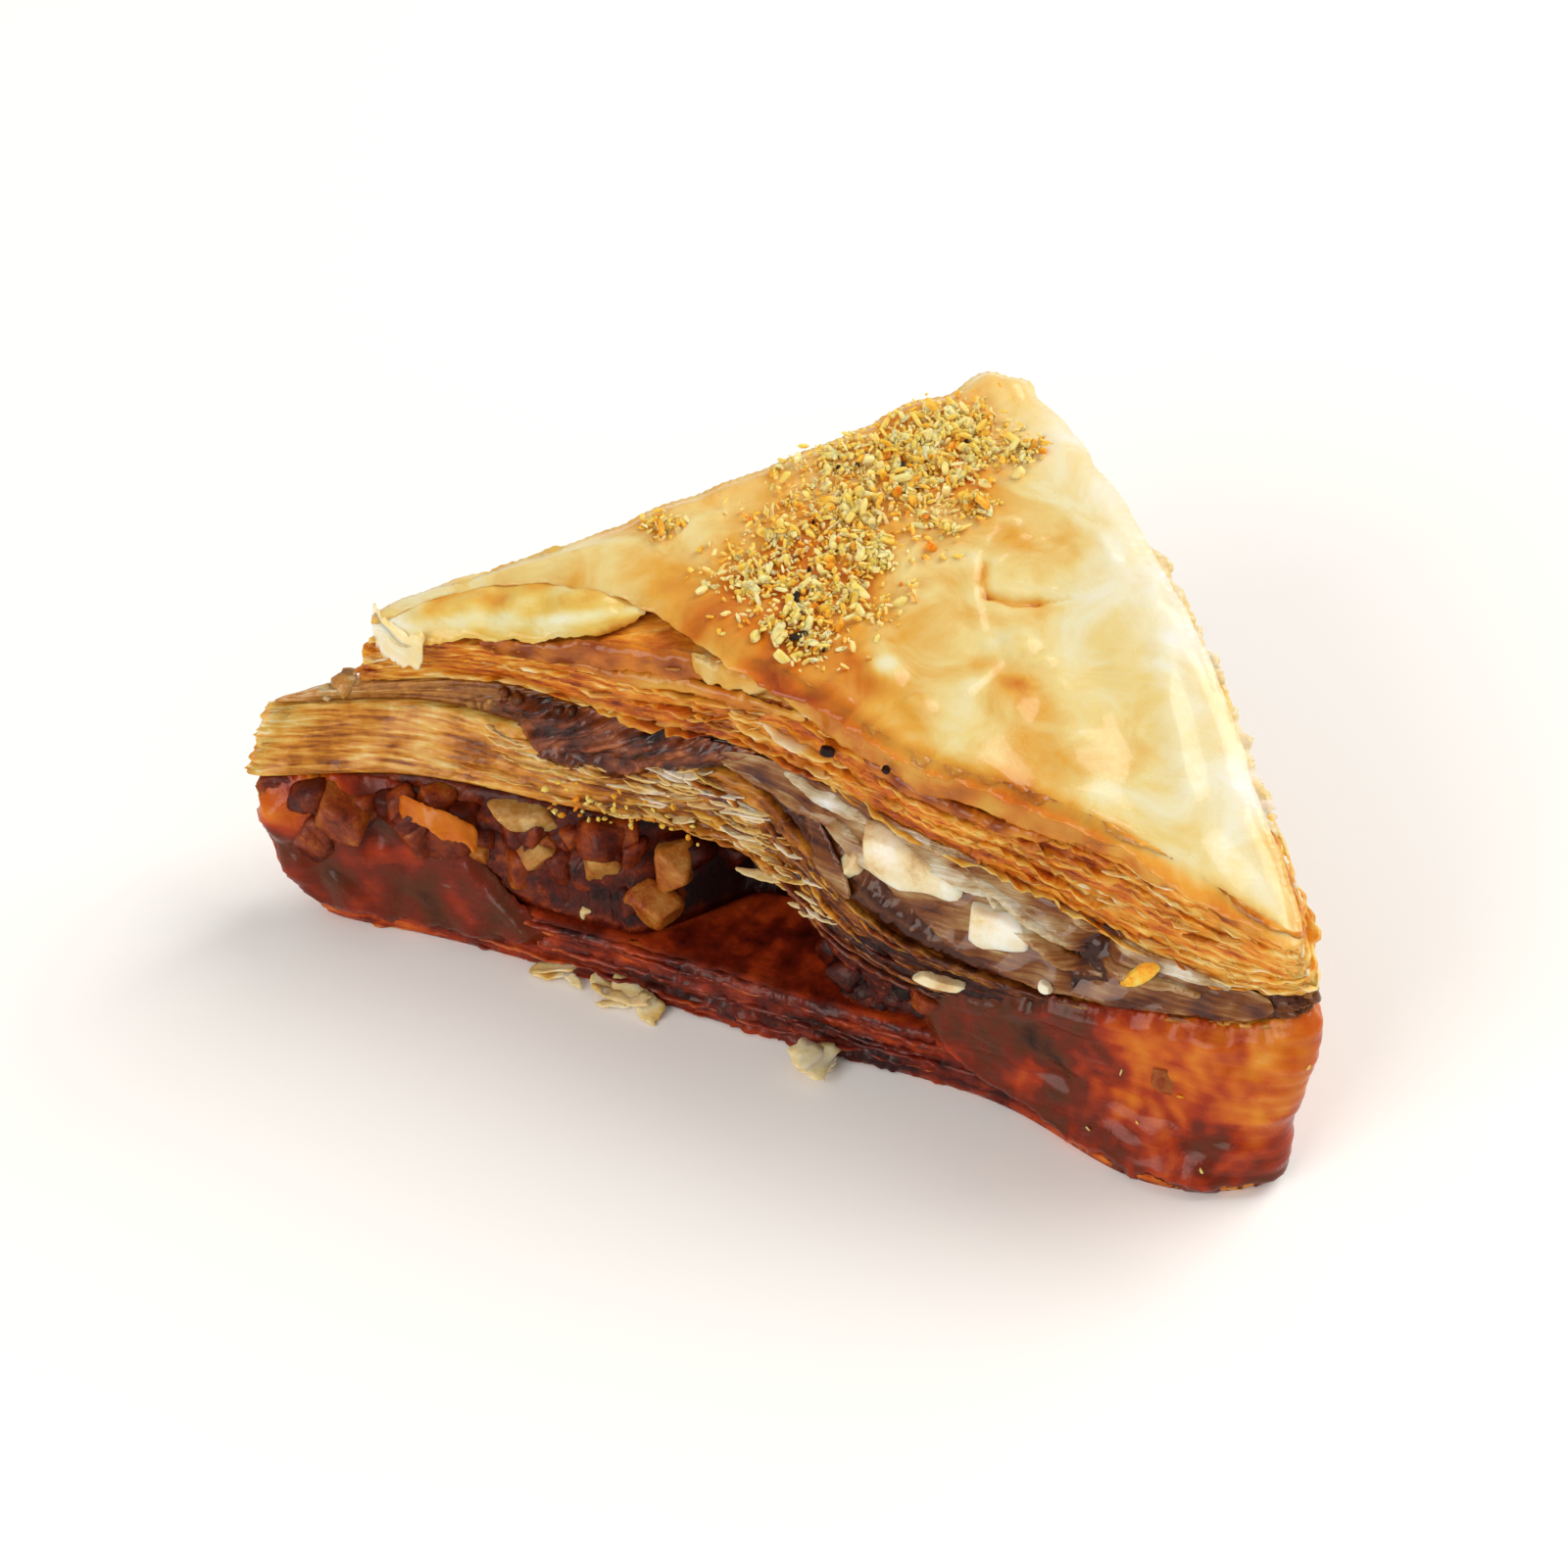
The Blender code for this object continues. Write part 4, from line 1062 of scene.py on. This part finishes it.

# The top sheet.
# The last sheet, thin as paper and lacquered with syrup. It is torn back on the left of the cut
# face, wrinkled in a swirl on the right, blistered over the cut edge, and nearly white at its rim,
# partly its own cream and partly painted window light.

# How far its front edge is torn back, and where along the cut face.
TEAR_STATIONS = (0.0, 0.09, 0.16, 0.24, 0.29, 0.33, 0.38, 0.44, 0.50, 0.58, 0.72, 0.90, 1.0)
TEAR_SET_BACK = (4.0, 8.6, 11.0, 11.0, 11.8, 9.2, 6.8, 5.8, 5.0, 2.8, 3.4, 1.2, -1.6)
SHEET_MM = 0.22
# The line that the ground nuts were scattered along: the syrup stayed wet and orange under them.
CRUMB_BAND = ((-0.4, -9.0), (-3.6, -4.4), (-3.4, 2.6), (-1.0, 9.8), (2.0, 18.2))
# Where the wettest spots between them are.
WET_SPOTS = ((0.7, 0.8), (-7.4, -4.3), (-2.6, -5.4), (3.2, 11.4), (0.7, -2.0), (-3.0, 4.0), (-5.6, 0.6))


def from_line(x, y, line):
    """How far each place is from a line drawn through points in plan."""
    line = np.array(line, float)
    best = np.full(np.shape(x), np.inf)
    for (ax, ay), (bx, by) in zip(line[:-1], line[1:]):
        length = (bx - ax) ** 2 + (by - ay) ** 2
        t = np.clip(((x - ax) * (bx - ax) + (y - ay) * (by - ay)) / length, 0, 1)
        best = np.minimum(best, np.hypot(x - ax - t * (bx - ax), y - ay - t * (by - ay)))
    return best


# Wrinkles that stand up from the sheet, and creases pressed into it: line, width and height.
WRINKLES = (
    (((8.4, 8.6), (7.4, 7.7), (7.0, 5.6)), 0.35, 0.2),
    (((6.9, 4.6), (7.2, 2.9), (8.4, 0.2), (9.8, -1.9)), 0.5, 0.10),
    (((9.4, 7.4), (8.7, 5.8), (8.6, 4.4)), 0.35, 0.08),
    (((7.9, 3.8), (8.3, 2.2), (9.2, 1.1)), 0.4, -0.26),
    (((9.2, 1.1), (11.0, 1.2), (12.6, 2.2)), 0.34, -0.28),
    (((12.2, 1.9), (14.6, 3.5)), 0.18, -0.18),
    (((10.0, 2.1), (11.8, 2.6), (13.0, 3.6)), 0.4, 0.12),
    (((12.0, 10.4), (14.6, 9.4), (16.2, 7.6)), 0.5, 0.16),
    (((11.4, 7.9), (12.8, 8.0), (14.0, 7.0)), 0.4, -0.08),
    (((18.8, 10.2), (20.4, 4.4), (19.6, -1.2)), 0.7, 0.14),
    (((10.6, -2.8), (12.0, -4.4), (11.0, -8.0)), 0.5, 0.14),
    (((11.4, -3.2), (13.6, -3.8), (15.0, -2.6)), 0.5, 0.12),
    (((22.0, 2.0), (24.6, -3.6), (27.6, -8.6)), 1.0, 0.2),
    (((3.2, 8.0), (2.6, 2.0), (4.4, -3.2)), 0.9, 0.12),
    (((-20.0, -4.6), (-13.0, -1.0), (-7.0, 2.0)), 1.2, 0.25),
    (((-26.0, -8.0), (-18.0, -3.0), (-12.0, 1.6)), 0.7, 0.2),
)
# Blisters: place, width and height.
BLISTERS = (
    (5.2, -8.4, 1.5, 0.55), (2.4, 22.4, 2.4, 0.6), (8.4, -10.4, 1.1, 0.35), (12.8, -2.1, 1.3, 0.4),
    (14.2, -7.6, 1.6, 0.35), (2.6, -12.2, 1.6, 0.4), (20.4, -9.2, 2.4, 0.4), (-8.6, -7.4, 2.0, 0.3),
)
# Where syrup has browned it, or left it paler: place, width and how much.
BROWNED = (
    (8.6, 6.8, 1.6, 0.16), (12.4, 6.5, 1.8, 0.18), (13.7, -5.9, 1.2, 0.28), (11.3, -5.0, 1.2, 0.16),
    (7.6, 2.4, 1.2, 0.14), (4.6, -9.6, 2.8, 0.30), (5.0, -8.0, 1.2, -0.5), (8.6, -12.0, 2.0, 0.2),
    (12.4, 1.6, 1.6, 0.12), (-2.0, -9.4, 2.4, 0.14), (-8.6, -8.2, 2.6, 0.26), (-12.6, -5.0, 2.0, 0.12),
    (14.0, 9.6, 2.0, 0.12), (16.0, -7.0, 2.6, 0.1), (22.7, -7.3, 3.0, 0.08), (-30.4, -10.6, 2.6, -0.25),
)


def sheet_relief(x, y):
    relief = 0.22 * np.sin(x / 3.1 + 0.6 * np.sin(y / 2.7)) * np.sin(y / 3.9 + 0.8)
    relief = relief + 0.12 * np.sin(x / 1.3 + 1.1 * np.sin(y / 1.9 + 1.0)) * np.sin(y / 1.7)
    for line, width, high in WRINKLES:
        relief = relief + high * bell(from_line(x, y, line), width)
    for bx, by, width, high in BLISTERS:
        relief = relief + high * bell((np.hypot(x - bx, y - by) / width) ** 2, 1.0)
    return relief


tear_ring = fine_ring(CREST, TEAR_STATIONS, TEAR_SET_BACK)
rng = np.random.default_rng(106)
tear_noise = 0.35 * waves(rng, 23) + 0.25 * waves(rng, 90, sharp=True) + 0.12 * waves(rng, 240, sharp=True)
# At the square corner it ends in a little tab, with a notch beside it: place, width and how far out.
CORNER_TABS = ((1.0, 22.4, 1.0, 0.7), (3.9, 22.4, 0.9, 0.7), (-1.6, 20.4, 1.2, -0.6))
for tab_x, tab_y, width, out in CORNER_TABS:
    tear_noise = tear_noise + out * bell(np.hypot(tear_ring[:, 0] - tab_x, tear_ring[:, 1] - tab_y), width)
tear_ring = tear_ring + outward_of(tear_ring) * (0.5 + tear_noise)[:, None]


def from_tear(x, y):
    """How far each place is from the edge of the top sheet."""
    return from_edge(x, y, tear_ring[::2])


# The front edge of the sheet below, which has puffed up on the left: its x, and its y there.
LIFTED_FRONT = ((-36, -30, -24, -18, -13, -8), (-13.6, -14.4, -13.0, -11.8, -8.4, -6.0))


def swell(x, y):
    """How far that sheet has puffed up, and the top one with it where it lies over it."""
    return 0.8 * bell(y - along(*LIFTED_FRONT, x) - 2.8, 2.8) * eased((x + 33) / 5) * eased((-14.0 - x) / 4)


def on_top(x, y):
    """Points of the top sheet: it lies on the stack and bends down at its edge."""
    flat = eased(from_tear(x, y) / 2.0)
    torn = eased((-10.0 - x) / 4.0) * eased((-2.0 - y) / 2.0)
    bend = -0.6 * (1 - torn) - 0.5 * torn
    z = height(CREST, x, y) + 0.15 + sheet_relief(x, y) * (0.35 + 0.65 * flat) + bend * (1 - flat) ** 2
    z = z + swell(x, y)
    return np.column_stack([x, y, z])


def top_tone(x, y):
    """How golden the sheet is: cream at the right rim (partly painted window light), gold in the middle,
    browned in places; painted shade in creases, painted highlight on wrinkles.
    """
    # Paler towards the back-right rim: partly the sheet's own cream, partly painted window light.
    rim = eased((x * 0.75 + y * 0.66 - 6.0) / 16.0)
    tone = 0.44 - 0.29 * rim + 0.06 * eased((-4 - x) / 14) + 0.03 * np.sin(x / 4.0) * np.sin(y / 5.0)
    tone = tone + 0.26 * bell(from_line(x, y, CRUMB_BAND), 5.4)
    for wet_x, wet_y in WET_SPOTS:
        tone = tone + 0.2 * bell(np.hypot(x - wet_x, y - wet_y), 1.6)
    # Painted shade darkens the creases, and painted highlight lightens the wrinkles that stand up.
    for line, width, high in WRINKLES:
        tone = tone - (0.95 if high < 0 else 0.2) * high * bell(from_line(x, y, line), width)
    for bx, by, width, much in BROWNED:
        tone = tone + much * bell(np.hypot(x - bx, y - by), width)
    front = (1 - eased(from_tear(x, y) / 2.6)) * eased((-8.0 - y) / 3) * eased((x + 6) / 4)
    return tone + 0.34 * front


# Buttered phyllo with syrup poured over: cream to amber in wide soft clouds, like lacquer.
lacquered_sheet = phyllo(
    "lacquered_top_sheet",
    (0, 0.2, 0.4, 0.6, 0.8, 1),
    "#FFF6E4 #FDE8C0 #F9D088 #EFA440 #D67418 #8A3A10",
    blotch=0.30, fibre=0.03, rough=0.2, coat=0.45, glow=0.4, glow_mm=2.0, spot_mm=5.0, swirl=0.6,
)
cover = Build()
sheet(cover, tear_ring, on_top, SHEET_MM, 0.32, top_tone)
# Under its front edge the next sheets hang over the cut face, smooth and orange-brown with syrup:
# from where to where along the face, how far down from the crest each starts and ends, how far it
# stands out, and its tone.
OVERHANGS = (
    (-9.0, 24.0, 0.0, 3.4, 0.6, 0.77),
    (14.0, 40.0, 0.0, 2.6, 0.5, 0.74),
    (-31.5, -10.5, 0.9, 3.4, 0.5, 0.82),
    (-24.0, -4.0, 3.0, 4.4, 0.5, 0.74),
    (-14.2, -6.8, 0.8, 3.2, 0.7, 0.60),
    (2.0, 18.0, 3.0, 4.4, 0.5, 0.88),
)
# How much of its drop each reaches at places from its one end to the other.
RAGGED_DROP = np.array([0.4, 0.8, 1.0, 0.9, 1.0, 0.85, 1.0, 0.8, 0.4])
for start, end, top_drop, drop, out, tone in OVERHANGS:
    span = np.linspace(start, end, len(RAGGED_DROP))
    front_row = np.interp(span, FACE_RUN, np.arange(RING)).astype(int)
    crest = height(CREST, *RINGS[CREST][front_row].T)
    low_line = np.column_stack([span, crest - top_drop - (drop - top_drop) * RAGGED_DROP])
    high_line = np.column_stack([span, crest - top_drop])[::-1]

    def overhang_stand(u, z, out=out):
        return out + 0.2 * drift(u, z, 2.5, out) + 0.1 * drift(u, z, 0.9, out)

    def overhang_tone(u, z, tone=tone):
        return tone + 0.12 * drift(u, z, 2.0, tone)

    outline = np.concatenate([low_line, high_line])
    film(cover, rng, outline, overhang_stand, overhang_tone, fray=0.2, thick=0.12, edge=0.5, under=0.1)
cover.object("top_sheet", lacquered_sheet, "golden_phyllo", "phyllo_top")

# The lifted sheet.
# The next sheet down, bared where the top one is torn: it has come away and puffed up, yellow and
# see-through, and at the left corner it hangs over in a pale flap.
LIFTED = (
    (-32.8, -12.6), (-31.6, -13.8), (-29.6, -14.4), (-27.0, -13.8), (-23.5, -12.9), (-19.2, -12.2),
    (-16.4, -11.2), (-14.6, -9.6), (-13.4, -7.4), (-12.6, -4.0), (-20.0, -2.6), (-27.0, -6.8), (-31.4, -10.4),
)


def on_lifted(x, y):
    puff = swell(x, y) - 0.5 * bell(y - along(*LIFTED_FRONT, x), 0.6) + 0.1 * np.sin(x / 1.4 + y / 2.2)
    return np.column_stack([x, y, height(CREST, x, y) - 0.45 + puff + 0.18 * drift(x, y, 1.8, 6.0)])


def lifted_tone(x, y):
    """A painted white highlight along its rounded front edge, golden where it puffs up, orange in the fold at
    the right.
    """
    # The white band along the front edge is a painted highlight.
    rounded = bell(y - along(*LIFTED_FRONT, x) - 1.2, 0.8)
    folds = 0.12 * drift(x, y, 2.2, 8.0)
    return 0.46 - 0.32 * rounded + 0.24 * eased((x + 19) / 5) - 0.18 * eased((-28 - x) / 3) + folds


# One sheet full of air and butter: yellow and see-through, its white end used for a painted highlight where
# it bends.
butter_sheet = phyllo(
    "puffed_buttery_sheet",
    (0, 0.2, 0.4, 0.6, 0.8, 1),
    "#FFF6DA #FBE0A4 #F4C060 #E89A32 #C05C18 #6E2A0E",
    blotch=0.2, fibre=0.12, rough=0.18, coat=0.5, glow=0.4, glow_mm=2.0,
)
rng = np.random.default_rng(107)
lifted = Build()
sheet(lifted, torn_outline(rng, LIFTED, 0.22), on_lifted, 0.2, 0.35, lifted_tone)
# The pale flap at the left corner.
FLAP = ((-33.4, -11.2, 24.6), (-32.0, -12.8, 24.9), (-30.2, -13.8, 25.3), (-28.0, -14.2, 25.7))
ribbon(lifted, rng, FLAP, (0.3, -0.9, -2.0), 0.16, fray=0.45, wave=0.15)
lifted.object("lifted_sheet", butter_sheet, "golden_phyllo", "phyllo_top")

# The ground nuts.
# Pistachio and almond ground to crumbs and scattered from the square corner to the torn edge.
# They are bright yellow, lie in a little syrup, and have dark bits of skin among them.

# How widely they fell at each point of the line, how many there are, in how many clumps, and how
# long the small, middling and large ones are and how many in 1 are so.
CRUMB_SPREAD = (1.6, 7.2, 7.6, 5.8, 3.6)
CRUMB_COUNT = 3600
CLUMPS = 110
CRUMB_LENGTHS = ((0.25, 0.45), (0.4, 0.7), (0.7, 1.1))
CRUMB_SHARES = (0.5, 0.42, 0.08)
# Little heaps that lie apart from the rest.
HEAPS = ((-15.6, -0.3), (5.2, 8.7), (7.0, 15.8), (6.4, 15.2), (-15.0, -0.8), (5.6, 9.1))
# The dark bits of skin: place and length.
SKIN_BITS = (
    (-5.4, 8.9, 0.5), (-4.1, 9.5, 0.7), (2.5, 14.3, 0.9), (-1.0, 10.4, 1.1), (-3.4, -1.5, 0.6),
    (-5.0, 3.2, 0.5), (-3.2, -4.4, 1.2), (-1.7, -7.9, 1.8), (0.6, -8.6, 0.6),
)

# Ground pistachio and almond: bright yellow grains with orange and dark skin, hardly shiny.
ground_nuts = nut_flesh(
    "ground_pistachio",
    (0, 0.25, 0.5, 0.68, 0.85, 1),
    "#FFF0AC #FFDC70 #FFBA3A #F0841A #7A3A14 #1E0806",
    rough=0.4, coat=0.1, glow=0.5,
)
rng = np.random.default_rng(108)
scatter = Build()
band, spots, clumps = np.column_stack([CRUMB_BAND, CRUMB_SPREAD]), [], []
for k in range(CRUMB_COUNT):
    step = (len(band) - 1) * rng.beta(1.7, 1.2)
    x, y, spread = (np.interp(step, range(len(band)), column) for column in band.T)
    x = x + np.clip(rng.normal(), -2.2, 2.2) * spread * 0.5
    y = y + np.clip(rng.normal(), -2.2, 2.2) * spread * 0.3
    if len(clumps) < CLUMPS:
        clumps.append((x, y))
    elif k % 2:
        x, y = clumps[rng.integers(CLUMPS)] + rng.normal(size=2) * 0.75
    elif k % 12 == 0:
        x, y = HEAPS[rng.integers(len(HEAPS))] + rng.normal(size=2) * 0.7
    spots.append((x, y, 0.36 if k % 2 else 0.62))
spots = np.array(spots)
spots = spots[inside(spots[:, :2], tear_ring)]
for (x, y, z), deepest in zip(on_top(*spots[:, :2].T), spots[:, 2]):
    size = rng.choice([rng.uniform(*limits) for limits in CRUMB_LENGTHS], p=CRUMB_SHARES)
    shape = size * rng.permutation([rng.uniform(1.0, 2.0), rng.uniform(0.5, 0.9), rng.uniform(0.3, 0.8)])
    place = (x, y, z + size * rng.uniform(-0.1, 0.4) + 0.6 * rng.uniform() ** 3)
    scatter.add(*chopped(rng, place, shape, 2 if size > 0.8 else 1, tip=0.7), rng.uniform(0.0, deepest))
# A chip of pistachio is stuck in the filling above the right-hand block.
PISTACHIO_CHIP = (26.8, 15.6)
place = face_spot(*PISTACHIO_CHIP, 0.9)
scatter.add(*chopped(rng, place, (3.8, 0.8, 1.3), 3, turn=0.1, tip=0.05, lean=-0.85), 0.5)
# Pale flecks set in the syrup of the block, partly crumbs and partly painted highlights in place of glints:
# how far along the face, and how high.
FLECKS_AND_PAINTED_GLINTS = ((25.6, 2.4), (29.2, 4.2), (31.9, 7.2), (39.5, 11.0), (34.8, 2.2), (27.4, 7.6))
for u, z in FLECKS_AND_PAINTED_GLINTS:
    fleck_and_glint = chopped(rng, face_spot(u, z, 0.7), rng.uniform(0.15, 0.7, 3), 1, tip=1.5)
    scatter.add(*fleck_and_glint, rng.uniform(0.1, 0.5))
# Some fell on the lower lip of the middle stack.
LIP_CRUMBS = 46
for k in range(LIP_CRUMBS):
    x = rng.uniform(-18.5, -7.0)
    i = int(np.argmin(np.abs(RINGS[LOW_SEAM][:FRONT_FINE, 0] - x)))
    x, y = RINGS[LOW_SEAM][i] + (0.0, rng.uniform(-0.5, 0.3))
    z = height(LOW_SEAM, x, y) + rng.choice([rng.uniform(-0.3, 0.6), rng.uniform(0.6, 3.0)], p=(0.7, 0.3))
    scatter.add(*chopped(rng, (x, y, z), rng.uniform(0.2, 0.75, 3), 1, tip=1.5), rng.uniform(0.2, 0.7))
for (x, y, z), (_, _, length) in zip(on_top(*np.array(SKIN_BITS)[:, :2].T), SKIN_BITS):
    scatter.add(*chopped(rng, (x, y, z + 0.4), (0.5 * length, length, 0.4), 2, turn=0.5), 1.3)
# Two black seeds have stuck to the cut face under the top sheet: how far along, how high, and size.
BLACK_SEEDS = ((-0.5, 24.9, 1.2), (5.0, 26.3, 0.7))
for u, z, size in BLACK_SEEDS:
    scatter.add(*chopped(rng, face_spot(u, z, 1.0), (size, 0.6, 0.8 * size), 3, turn=0.4, tip=0.3), 1.3)
scatter.object("ground_nuts", ground_nuts, "ground_nuts", "phyllo_top", smooth=False)

# Floor and light.
# A white table top, a wide soft window light from behind on the right, and a weak one in front.
floor_mesh = bpy.data.meshes.new("table")
SIDE = 0.9
corners = [(-SIDE, -SIDE, 0), (SIDE, -SIDE, 0), (SIDE, SIDE, 0), (-SIDE, SIDE, 0)]
floor_mesh.from_pydata(corners, [], [(0, 1, 2, 3)])
table = bpy.data.objects.new("table", floor_mesh)
bpy.context.scene.collection.objects.link(table)
table_top = new_material("matt_white_table")
paint = node(table_top, "BsdfPrincipled", {"Base Color": linear("#FCFCFC"), "Roughness": 0.9})
node(table_top, "OutputMaterial", links={"Surface": paint})
floor_mesh.materials.append(table_top)

# Each light's place and size in metres, its watts, and its colour.
LIGHTS = (
    ("window", (0.50, 0.62, 0.80), 0.8, 10.5, "#FFFBF4"),
    ("fill", (-0.30, -0.80, 0.50), 0.6, 5.0, "#FFF8F0"),
)
for name, place, size, watts, colour in LIGHTS:
    lamp = bpy.data.objects.new(name, bpy.data.lights.new(name, "AREA"))
    lamp.data.size = size
    lamp.data.energy = watts
    lamp.data.color = linear(colour)[:3]
    lamp.location = place
    lamp.rotation_euler = (Vector(place) - CAMERA_AIM).to_track_quat("Z", "Y").to_euler()
    bpy.context.scene.collection.objects.link(lamp)

world = bpy.data.worlds.new("room")
world.use_nodes = True
room_light = world.node_tree.nodes["Background"].inputs
room_light["Color"].default_value = linear("#FFFCF7")
room_light["Strength"].default_value = 0.42
bpy.context.scene.world = world
bpy.context.scene.view_settings.view_transform = "Standard"
